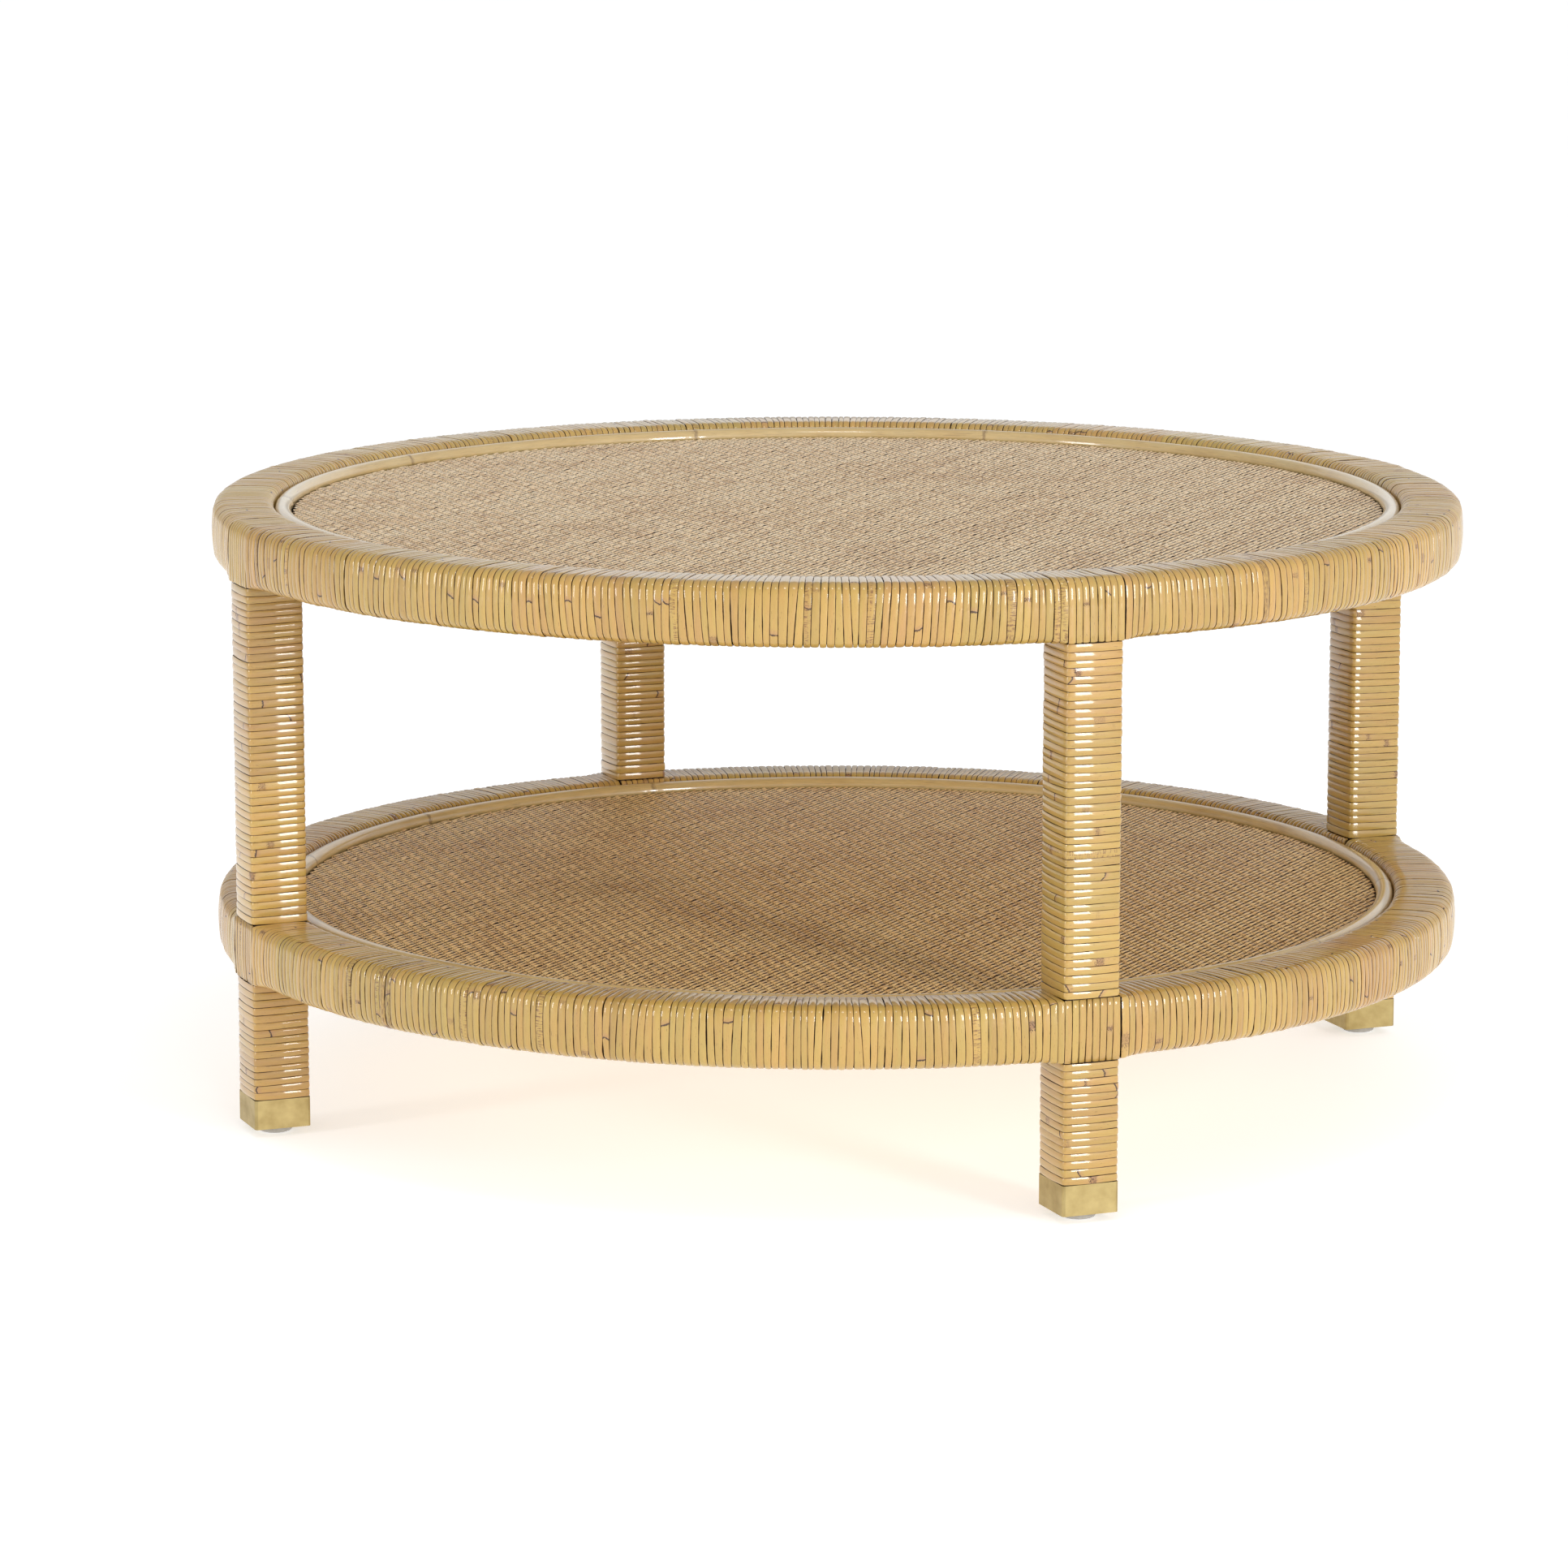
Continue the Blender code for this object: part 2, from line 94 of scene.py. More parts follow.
def mesh_piece(name, points, quads, layers, uvs, material, columns=0):
    """points (N, 3) in mm; quads (M, 4); layers and uvs hold one row for each quad corner.
    columns is the number of points round one strand, whose edges are then made sharp."""
    mesh = bpy.data.meshes.new(name)
    mesh.vertices.add(len(points))
    mesh.vertices.foreach_set("co", (np.asarray(points) * MM).ravel().astype(np.float32))
    quads = np.asarray(quads, dtype=np.int32)
    mesh.loops.add(quads.size)
    mesh.loops.foreach_set("vertex_index", quads.ravel())
    mesh.polygons.add(len(quads))
    mesh.polygons.foreach_set("loop_start", np.arange(0, quads.size, 4, dtype=np.int32))
    mesh.polygons.foreach_set("use_smooth", np.ones(len(quads), dtype=bool))
    mesh.update(calc_edges=True)
    for layer, values in layers.items():
        attribute = mesh.attributes.new(layer, "FLOAT_VECTOR", "CORNER")
        attribute.data.foreach_set("vector", np.asarray(values, dtype=np.float32).ravel())
    if uvs is not None:
        uv = mesh.uv_layers.new(name="OFBake")
        uv.data.foreach_set("uv", np.asarray(uvs, dtype=np.float32).ravel())
    if columns:
        ends = np.zeros(len(mesh.edges) * 2, dtype=np.int32)
        mesh.edges.foreach_get("vertices", ends)
        column = ends.reshape(-1, 2) % columns
        sharp = (column[:, 0] == column[:, 1]) & np.isin(column[:, 0], FACE_EDGES)
        mesh.attributes.new("sharp_edge", "BOOLEAN", "EDGE").data.foreach_set("value", sharp)
    mesh.materials.append(material)
    piece = bpy.data.objects.new(name, mesh)
    bpy.context.scene.collection.objects.link(piece)
    return piece


def grid_quads(strands, rows, columns, closed_rows):
    """Quads of many separate grids, with the columns always closed round the strand."""
    row_count = rows if closed_rows else rows - 1
    s, r, c = np.meshgrid(np.arange(strands), np.arange(row_count), np.arange(columns), indexing="ij")
    r2, c2 = (r + 1) % rows, (c + 1) % columns
    base = s * rows * columns
    return np.stack([base + r * columns + c, base + r * columns + c2,
                     base + r2 * columns + c2, base + r2 * columns + c], axis=-1).reshape(-1, 4)


# Section of one strand: across it from its left edge over the crown, then back underneath

ACROSS = np.array([-1.0, -0.94, -0.6, -0.2, 0.2, 0.6, 0.94, 1.0, 0.93, -0.93])
FACE_EDGES = (0, 1, 6, 7)       # columns where the crown breaks off sharply


def section_heights(left_drop, right_drop):
    """Heights (strands, rows, columns) over the strand's own level; the edges drop into the gaps."""
    heights = np.zeros(left_drop.shape + (len(ACROSS),))
    for column, share in ((2, 0.62), (3, 0.95), (4, 0.95), (5, 0.62)):
        heights[..., column] = share * CROWN
    heights[..., 0], heights[..., 1] = -left_drop, -0.2 * left_drop
    heights[..., 6], heights[..., 7] = -0.2 * right_drop, -right_drop
    heights[..., 8:] = -STRAND_THICKNESS
    return heights


def gap_noise(count, along):
    """How open each gap is, 0 to 1, along its whole length: strands touch in places."""
    phase = rng.uniform(0, 6.3, (4, count, 1))
    pace = rng.uniform(0.06, 0.28, (4, count, 1))
    waves = np.sin(along[None, :] * pace[0] + phase[0]) + 0.8 * np.sin(along[None, :] * pace[1] + phase[1])
    waves = waves + 0.6 * np.sin(along[None, :] * (0.35 + pace[2]) + phase[2])
    return np.clip(0.38 + 0.34 * waves + rng.normal(0, 0.2, (count, 1)), 0, 1)


def strand_layers(along, looks, rows_closed, length):
    """Corner attributes of strands that are grids: along (S, R), looks one value for each strand."""
    strands, rows = along.shape
    columns = len(ACROSS)
    row_count = rows if rows_closed else rows - 1
    a0 = along[:, :row_count]
    a1 = np.roll(along, -1, axis=1)[:, :row_count] if rows_closed else along[:, 1:]
    if rows_closed:
        a1 = a1.copy()
        a1[:, -1] = length
    shape = (strands, row_count, columns)

    def corners(row_values, next_values):
        rows_of = (row_values, row_values, next_values, next_values)
        return np.stack([np.broadcast_to(v[:, :, None], shape) for v in rows_of], axis=-1)

    alongs = corners(a0, a1)
    u0, u1 = ACROSS, np.roll(ACROSS, -1)
    acrosses = np.stack([np.broadcast_to(v[None, None, :], shape) for v in (u0, u1, u1, u0)], axis=-1)

    def each(values):
        return np.broadcast_to(np.asarray(values)[:, None, None, None], shape + (4,))

    strand = np.stack([alongs, acrosses, each(looks["ident"])], axis=-1).reshape(-1, 3)
    look = np.stack([each(looks["tone"]), each(looks["light"]), alongs - each(looks["mark"])], axis=-1)
    extra = np.stack([each(looks[k]) for k in ("crack", "size", "dark")], axis=-1).reshape(-1, 3)
    return {"strand": strand, "look": look.reshape(-1, 3), "extra": extra}


def strand_uvs(along, columns, rows_closed, length, bands):
    """Each strand gets its own upright cell of the UV map."""
    strands, rows = along.shape
    row_count = rows if rows_closed else rows - 1
    per_band = math.ceil(strands / bands)
    cell_u, cell_v = 1.0 / per_band, 1.0 / bands
    index = np.arange(strands)
    left = (index % per_band) * cell_u
    low = (index // per_band) * cell_v
    v0 = along[:, :row_count] / length
    v1 = np.roll(along, -1, axis=1)[:, :row_count] / length if rows_closed else along[:, 1:] / length
    if rows_closed:
        v1 = v1.copy()
        v1[:, -1] = 1.0
    steps = np.concatenate([np.linspace(0, 0.86, 8), [0.92, 0.96, 1.0]])[:columns + 1]
    u0, u1 = steps[:-1], steps[1:]
    shape = (strands, row_count, columns)
    u = np.stack([np.broadcast_to(v[None, None, :], shape) for v in (u0, u1, u1, u0)], axis=-1)
    v = np.stack([np.broadcast_to(w[:, :, None], shape) for w in (v0, v0, v1, v1)], axis=-1)
    u = left[:, None, None, None] + cell_u * (0.04 + 0.92 * u)
    v = low[:, None, None, None] + cell_v * (0.01 + 0.98 * v)
    return np.stack([u, v], axis=-1).reshape(-1, 2)


def smooth_walk(count, spread, memory):
    """Random values whose neighbours are alike."""
    values = np.zeros(count)
    value = rng.normal()
    for i in range(count):
        value = memory * value + math.sqrt(1 - memory * memory) * rng.normal()
        values[i] = value
    return values * spread


def strand_looks(count, length, run):
    """Tone, light, place of the node mark and cracks of each turn of a few long strands."""
    tone, light, mark, crack = (np.zeros(count) for _ in range(4))
    i = 0
    while i < count:
        turns = int(rng.integers(max(2, run // 3), run))
        base_tone, base_light = rng.normal(0.47, 0.16), rng.normal(0.0, 0.03)
        place = rng.uniform(0, 260)
        for k in range(i, min(i + turns, count)):
            tone[k] = base_tone + rng.normal(0, 0.09)
            light[k] = base_light + rng.normal(0, 0.045)
            mark[k] = place if place < length else NO_MARK
            if place < length:
                place += rng.uniform(110, 280)
            place -= length
        i += turns
    crack[rng.random(count) < 0.008] = 1.0
    size = 0.6 + 3.0 * rng.random(count) ** 2
    dark = np.clip(rng.normal(0.65, 0.3, count), 0.1, 1.0)
    return {"tone": np.clip(tone, 0, 1), "light": np.clip(light, -0.16, 0.14), "mark": mark,
            "crack": crack, "size": size, "dark": dark, "ident": rng.uniform(0, 100, count)}


# Outlines that the strands go round

def outline_points(corners, sides):
    """corners: centre, radius, start angle of each quarter bend; sides: points added between bends."""
    points = []
    for (cx, cy, radius, start), extra in zip(corners, sides):
        for step in np.linspace(0, 90, 5 if radius > 1 else 2):
            angle = math.radians(start + step)
            points.append((cx + radius * math.cos(angle), cy + radius * math.sin(angle)))
        points.extend([None] * extra)
    filled = []
    count = len(points)
    for i, point in enumerate(points):
        if point is not None:
            filled.append(point)
            continue
        before = i
        while points[before] is None:
            before -= 1
        after = i
        while points[after % count] is None:
            after += 1
        share = (i - before) / (after - before)
        start, end = points[before], points[after % count]
        filled.append((start[0] + (end[0] - start[0]) * share, start[1] + (end[1] - start[1]) * share))
    return np.array(filled)


def along_outline(points, closed):
    """Outward normal and distance along, at every point."""
    if closed:
        ahead, behind = np.roll(points, -1, axis=0), np.roll(points, 1, axis=0)
    else:
        ahead, behind = np.vstack([points[1:], points[-1:]]), np.vstack([points[:1], points[:-1]])
    gaps = np.linalg.norm(ahead - points, axis=1)
    tangent = ahead - behind
    tangent /= np.linalg.norm(tangent, axis=1)[:, None]
    normal = np.stack([tangent[:, 1], -tangent[:, 0]], axis=1)
    along = np.concatenate([[0.0], np.cumsum(gaps)[:-1]])
    return normal, along, float(gaps.sum())


def square_bends(left, right, low, high, corner):
    return [(left + corner, low + corner, corner, 180), (right - corner, low + corner, corner, 270),
            (right - corner, high - corner, corner, 0), (left + corner, high - corner, corner, 90)]


def ring_outline(inner, outer, low, high, corner, bulge):
    """Section of a ring from the inner lower bend, along the underside, up the outer face."""
    points = outline_points(square_bends(inner, outer, low, high, corner), [2, 10, 9, 2])
    middle, half = (low + high) / 2, (high - low) / 2
    side = points[:, 0] > outer - corner * 0.9
    reach = np.clip(np.abs(points[:, 1] - middle) / half, 0, 1)
    points[side, 0] += bulge * (1 - reach[side] ** 2) - 0.2 * bulge
    crest = points[:, 1] > high - corner * 0.9
    width = (outer - inner) / 2 - corner * 0.6
    reach = np.clip(np.abs(points[:, 0] - (inner + outer) / 2) / width, 0, 1)
    points[crest, 1] += 0.25 * bulge * (1 - reach[crest] ** 2)
    return points


def edge_lines(count, start, end):
    """Angles of the lines between strands, uneven, and their lean."""
    widths = np.clip(1 + rng.normal(0, 0.075, count), 0.8, 1.22)
    lines = np.concatenate([[0.0], np.cumsum(widths)])
    lines = start + (end - start) * lines / lines[-1]
    lean = smooth_walk(count + 1, 0.032, 0.86) + rng.normal(0, 0.012, count + 1)
    fade = np.minimum(1, np.minimum(np.arange(count + 1), np.arange(count, -1, -1)) / 5.0)
    return lines, lean * fade


def gaps_between(openness, wide_share):
    """Width of each gap along its length, with a few wide ones."""
    chosen = rng.random((len(openness), 1)) < wide_share
    wide = np.where(chosen, rng.uniform(0.2, 0.6, (len(openness), 1)), 0.0)
    return 0.10 + 0.30 * openness ** 1.5 + wide * openness


def turned_by(x, y, z, angle):
    """Points turned about the vertical axis."""
    c, s = math.cos(angle), math.sin(angle)
    return np.stack([x * c - y * s, x * s + y * c, np.broadcast_to(z, x.shape)], axis=-1)


def ring_strands(name, node, outline, closed, start, end, count, flat_face, bands, material,
                 square_top=False, worn=()):
    """A run of peel strands round a ring's section, as one piece."""
    normal, along, length = along_outline(outline, closed)
    rows = len(outline)
    radius = outline[:, 0]
    mid_z = (outline[:, 1].min() + outline[:, 1].max()) / 2
    mid_r = (radius.min() + radius.max()) / 2
    lines, lean = edge_lines(count, start, end)
    shift = lean[:, None] * (outline[None, :, 1] - mid_z)
    shift = shift + 0.8 * lean[::-1, None] * (radius[None, :] - mid_r) * 0.5
    swing = 0.16 * rng.normal(size=(count + 1, 1))
    wave = swing * np.sin(along[None, :] / 17.0 + rng.uniform(0, 6.3, (count + 1, 1)))
    edge = lines[:, None] + (shift + wave) / RING_OUTER
    edge[0], edge[-1] = start, end
    openness = gap_noise(count + 1, along)
    gap = gaps_between(openness, 0.05)
    left = edge[:-1] + gap[:-1] / 2 / radius[None, :]
    right = edge[1:] - gap[1:] / 2 / radius[None, :]
    lift = rng.normal(0, 0.10, (count, 1))
    lift = lift + 0.06 * np.sin(along[None, :] / 11.0 + rng.uniform(0, 6.3, (count, 1)))
    lift = np.clip(lift, -0.3, 0.3)
    tip = rng.normal(0, 0.05, (count, 1, 1))
    height = section_heights(0.2 + 0.5 * openness[:-1], 0.2 + 0.5 * openness[1:])
    height = height + lift[:, :, None] + tip * ACROSS[None, None, :]
    theta = (left + right)[:, :, None] / 2 + (right - left)[:, :, None] / 2 * ACROSS[None, None, :]
    r = radius[None, :, None] + (height - CROWN) * normal[None, :, None, 0]
    z = outline[None, :, None, 1] + (height - CROWN) * normal[None, :, None, 1]
    z = np.array(np.broadcast_to(z, r.shape))
    outer_share = np.clip((radius - (RING_OUTER - 9)) / 7, 0, 1)[None, :, None]
    if flat_face:
        r = r / (1 - outer_share * (1 - np.cos(theta - (start + end) / 2)))
    elif closed:
        from_joint = np.minimum(theta - start, end - theta) * RING_OUTER
        from_joint = np.clip(from_joint, 0, None)
        r = r + outer_share * (JOINT_FACE - RING_OUTER + 0.2) * np.exp(-from_joint / 16.0)
        squared = RING_CORNER * 0.85 * np.exp(-(from_joint / 9.0) ** 2)
        for first, degrees in ((7, 270), (22, 0))[:1 + square_top]:
            bend = np.radians(degrees + np.linspace(0, 90, 5))[None, :, None]
            r[:, first:first + 5] += squared[:, first:first + 5] * (1 - np.cos(bend))
            z[:, first:first + 5] += squared[:, first:first + 5] * (np.sign(degrees - 1) * -1 - np.sin(bend))
    points = np.stack([r * np.cos(theta), r * np.sin(theta), z], axis=-1).reshape(-1, 3)
    columns = len(ACROSS)
    quads = grid_quads(count, rows, columns, closed)[:, ::-1]
    looks = strand_looks(count, length, 22)
    for index, kind in worn:
        looks["crack"][index] = kind
    alongs = np.broadcast_to(along[None, :], (count, rows))
    layers = strand_layers(alongs, looks, closed, length)
    uvs = strand_uvs(alongs, columns, closed, length, bands)
    points, quads, layers, uvs = with_caps(points, quads, layers, uvs, count, rows, columns, closed)
    piece = mesh_piece(name, points, quads, layers, uvs, material, columns)
    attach(piece, "root")
    if node:
        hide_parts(node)


def with_caps(points, quads, layers, uvs, count, rows, columns, closed):
    """Matches corner values to the turned quads and closes the ends of open strands."""
    turned = {name: values.reshape(-1, 4, 3)[:, ::-1].reshape(-1, 3) for name, values in layers.items()}
    uvs = uvs.reshape(-1, 4, 2)[:, ::-1].reshape(-1, 2)
    if closed:
        return points, quads, turned, uvs
    extra_quads, picks = [], []
    half = columns // 2
    for s in range(count):
        base = s * rows * columns
        quad_base = s * (rows - 1) * columns
        for row, turn in ((0, False), (rows - 1, True)):
            for k in range(half - 1):
                a, b, c, d = k, k + 1, columns - 2 - k, columns - 1 - k
                quad = [base + row * columns + i for i in (a, b, c, d)]
                extra_quads.append(quad[::-1] if turn else quad)
                picks.append(quad_base + min(row, rows - 2) * columns + 3)
    quads = np.vstack([quads, np.array(extra_quads)])
    for name, values in turned.items():
        rows_of = values.reshape(-1, 4, 3)
        turned[name] = np.vstack([rows_of, np.repeat(rows_of[picks][:, :1], 4, axis=1)]).reshape(-1, 3)
    cells = uvs.reshape(-1, 4, 2)
    return points, quads, turned, np.vstack([cells, cells[picks]]).reshape(-1, 2)


def leg_outline(centre, half, corner, bulge):
    """Square section of a leg in plan, started at its inner corner, with faintly bowed faces."""
    low, high = centre - half, centre + half
    points = outline_points(square_bends(low, high, -half, half, corner), [7, 7, 7, 7])
    place = points - np.array([centre, 0.0])
    for axis in (0, 1):
        side = np.abs(place[:, axis]) > half - corner * 0.7
        bow = bulge * (1 - np.clip(np.abs(place[:, 1 - axis]) / (half - corner * 0.3), 0, 1) ** 2)
        points[side, axis] += np.sign(place[side, axis]) * bow[side]
    return points


def leg_strands(name, node, low, high, count, degrees, material):
    """Level turns of peel round a square leg, as one piece."""
    outline = leg_outline(LEG_CENTRE, LEG_HALF + 0.25, LEG_CORNER, LEG_BOW)
    normal, along, length = along_outline(outline, True)
    rows = len(outline)
    widths = np.clip(1 + rng.normal(0, 0.06, count), 0.85, 1.15)
    lines = np.concatenate([[0.0], np.cumsum(widths)])
    lines = low + (high - low) * lines / lines[-1]
    phase = rng.uniform(0, 6.3, (count + 1, 1))
    fade = np.minimum(1, np.minimum(np.arange(count + 1), np.arange(count, -1, -1)) / 2.0)[:, None]
    wave = fade * (0.22 * rng.normal(size=(count + 1, 1)) * np.sin(along[None, :] / 23.5 + phase))
    turn = fade * 0.5 * np.sin(TURN * (along[None, :] / length) + 2.2)
    edge = lines[:, None] + wave + turn
    openness = gap_noise(count + 1, along)
    gap = 0.5 * gaps_between(openness, 0.04)
    bottom, top = edge[:-1] + gap[:-1] / 2, edge[1:] - gap[1:] / 2
    lift = rng.normal(0, 0.12, (count, 1)) + 0.05 * np.sin(along[None, :] / 9.0 + phase[1:])
    lift = np.clip(lift, -0.3, 0.3)
    tip = rng.normal(0, 0.04, (count, 1, 1))
    height = section_heights(0.06 + 0.30 * openness[:-1], 0.06 + 0.30 * openness[1:])
    height = height + lift[:, :, None] + tip * ACROSS[None, None, :] - CROWN
    z = (bottom + top)[:, :, None] / 2 + (top - bottom)[:, :, None] / 2 * ACROSS[None, None, :]
    x = outline[None, :, None, 0] + height * normal[None, :, None, 0]
    y = outline[None, :, None, 1] + height * normal[None, :, None, 1]
    points = turned_by(x, y, z, math.radians(degrees)).reshape(-1, 3)
    columns = len(ACROSS)
    quads = grid_quads(count, rows, columns, True)
    looks = strand_looks(count, length, 30)
    alongs = np.broadcast_to(along[None, :], (count, rows))
    layers = strand_layers(alongs, looks, True, length)
    uvs = strand_uvs(alongs, columns, True, length, 1)
    piece = mesh_piece(name, points, quads, layers, uvs, material, columns)
    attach(piece, "root")
    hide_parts(node)


# Woven panels

def weave_strands(name, node, surface, turn, family, material):
    """One of the two sets of flat strands of a twill weave: over two and under one, or the other way."""
    pitch = WEAVE_PITCH
    over = family == "long"
    reach = int(PANEL_RADIUS / pitch) + 1
    samples = np.array([0.0, 0.58, 1.5, 2.42])
    heights = np.array([-1.6, -0.15, 0.1, -0.15]) if over else np.array([-0.05, -1.0, -1.6, -1.0])
    half = pitch / 2 * (0.76 if over else 0.62)
    all_points, all_quads, all_strand, all_look, all_uv = [], [], [], [], []
    first = 0
    angle = math.radians(turn)
    for index in range(-reach, reach + 1):
        centre = index * pitch + rng.normal(0, 0.05)
        span2 = (PANEL_RADIUS - 0.4) ** 2 - centre * centre
        if span2 <= 16:
            continue
        span = math.sqrt(span2)
        shift = (-index) % 3
        cycles = np.arange(-reach // 3 - 2, reach // 3 + 3)
        t = ((cycles[:, None] * 3 + shift + samples[None, :]) * pitch).ravel()
        h = np.tile(heights, len(cycles))
        keep = np.abs(t) < span - 0.3
        if keep.sum() < 2:
            continue
        ends = np.array([-span, span])
        h = np.concatenate([[np.interp(-span, t, h)], h[keep], [np.interp(span, t, h)]])
        t = np.concatenate([[ends[0]], t[keep], [ends[1]]])
        rows = len(t)
        bend = 0.12 * np.sin(t / 61.0 + rng.uniform(0, 6.3)) + rng.normal(0, 0.08, rows)
        width = half * (1 + rng.normal(0, 0.02)) * (1 + rng.normal(0, 0.05, rows))
        rise = rng.normal(0, 0.03) + rng.normal(0, 0.1, rows)
        u = np.array([-1.0, 0.0, 1.0])
        across = centre + bend[:, None] + width[:, None] * u[None, :]
        z = surface + h[:, None] + rise[:, None] - np.array([0.55, 0.0, 0.55])[None, :]
        tt = np.repeat(t[:, None], 3, axis=1)
        e_across, e_along = ((1, -1), (1, 1)) if over else ((1, 1), (1, -1))
        x = (across * e_across[0] + tt * e_along[0]) / math.sqrt(2)
        y = (across * e_across[1] + tt * e_along[1]) / math.sqrt(2)
        points = turned_by(x, y, z, angle)
        r, c = np.meshgrid(np.arange(rows - 1), np.arange(2), indexing="ij")
        quad = np.stack([r * 3 + c, r * 3 + c + 1, (r + 1) * 3 + c + 1, (r + 1) * 3 + c], axis=-1)
        quad = quad.reshape(-1, 4)
        if not over:
            quad = quad[:, ::-1]
        tone, light, ident = np.clip(rng.normal(0.4, 0.07), 0, 1), rng.normal(0, 0.015), rng.uniform(0, 100)
        flat_t, flat_u = tt.ravel(), np.tile(u, rows)
        flat_h = np.repeat(h, 3)
        same = [np.full(quad.shape, value) for value in (ident, tone, light)]
        all_strand.append(np.stack([flat_t[quad], flat_u[quad], same[0]], axis=-1).reshape(-1, 3))
        all_look.append(np.stack([same[1], same[2], flat_h[quad]], axis=-1).reshape(-1, 3))
        flat = points.reshape(-1, 3)
        all_uv.append((0.5 + flat[quad][..., :2] / (2 * PANEL_RADIUS + 8)).reshape(-1, 2))
        all_points.append(flat)
        all_quads.append(quad + first)
        first += len(flat)
    layers = {"strand": np.vstack(all_strand), "look": np.vstack(all_look)}
    piece = mesh_piece(name, np.vstack(all_points), np.vstack(all_quads), layers, np.vstack(all_uv), material)
    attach(piece, "root")
    if node:
        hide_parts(node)


def painted_shade_sheet(name, height, material):
    """Dark sheet that stands in for the shade between the woven strands: painted shade."""
    count = 96
    rings = [PANEL_RADIUS - 0.3, 240.0, 120.0, 12.0]
    points, quads = [], []
    for radius in rings:
        for i in range(count):
            a = TURN * i / count
            points.append((radius * math.cos(a), radius * math.sin(a), height))
    for r in range(len(rings) - 1):
        for i in range(count):
            j = (i + 1) % count
            quads.append((r * count + i, r * count + j, (r + 1) * count + j, (r + 1) * count + i))
    piece = mesh_piece(name, np.array(points), np.array(quads), {}, None, material)
    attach(piece, "root")


# Pole that edges each panel

def bead_ring(name, node, height, material):
    segments, around = 900, 18
    theta = np.linspace(0, TURN, segments, endpoint=False)
    arc = theta * BEAD_CENTRE
    total = TURN * BEAD_CENTRE
    radius = BEAD_RADIUS * np.ones(segments)
    marks = np.cumsum(rng.uniform(170, 330, 12))
    marks = marks[marks < total - 80]
    distance = (arc[:, None] - marks[None, :] + total / 2) % total - total / 2
    nearest = distance[np.arange(segments), np.argmin(np.abs(distance), axis=1)]
    radius += 0.22 * np.exp(-(nearest / 5.0) ** 2) - 0.16 * np.exp(-((nearest - 1.5) / 1.2) ** 2)
    for waves in (3, 5, 8, 13):
        radius += 0.05 * np.sin(waves * theta + rng.uniform(0, 6.3))
    centre_r = BEAD_CENTRE + 0.2 * np.sin(4 * theta + 1) + 0.12 * np.sin(9 * theta)
    centre_z = height + 0.15 * np.sin(5 * theta + 2) - 0.1
    phi = np.linspace(0, TURN, around, endpoint=False)
    r = centre_r[:, None] + radius[:, None] * np.cos(phi)[None, :]
    z = centre_z[:, None] + radius[:, None] * np.sin(phi)[None, :]
    points = np.stack([r * np.cos(theta)[:, None], r * np.sin(theta)[:, None], z], axis=-1).reshape(-1, 3)
    quads = grid_quads(1, segments, around, True)[:, ::-1]
    s, c = np.meshgrid(np.arange(segments), np.arange(around), indexing="ij")
    arc0, arc1 = arc[s], np.append(arc, total)[s + 1]
    phi0, phi1 = c / around, (c + 1) / around
    near0, near1 = nearest[s], np.append(nearest, nearest[0])[s + 1]
    along = np.stack([arc1, arc1, arc0, arc0], axis=-1)
    turn = np.stack([phi0, phi1, phi1, phi0], axis=-1)
    near = np.stack([near1, near1, near0, near0], axis=-1)
    strand = np.stack([along, turn * 6.0, np.full(along.shape, rng.uniform(0, 100))], axis=-1)
    look = np.stack([np.full(along.shape, 0.35), np.zeros(along.shape), near], axis=-1)
    layers = {"strand": strand.reshape(-1, 3), "look": look.reshape(-1, 3)}
    bands = 8
    share = along / total * bands
    band = np.minimum(np.floor((arc0 + arc1)[..., None] / 2 / total * bands), bands - 1)
    uvs = np.stack([share - band, (band + 0.03 + 0.94 * turn) / bands], axis=-1).reshape(-1, 2)
    piece = mesh_piece(name, points, quads, layers, uvs, material)
    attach(piece, "root")
    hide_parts(node)


# Materials

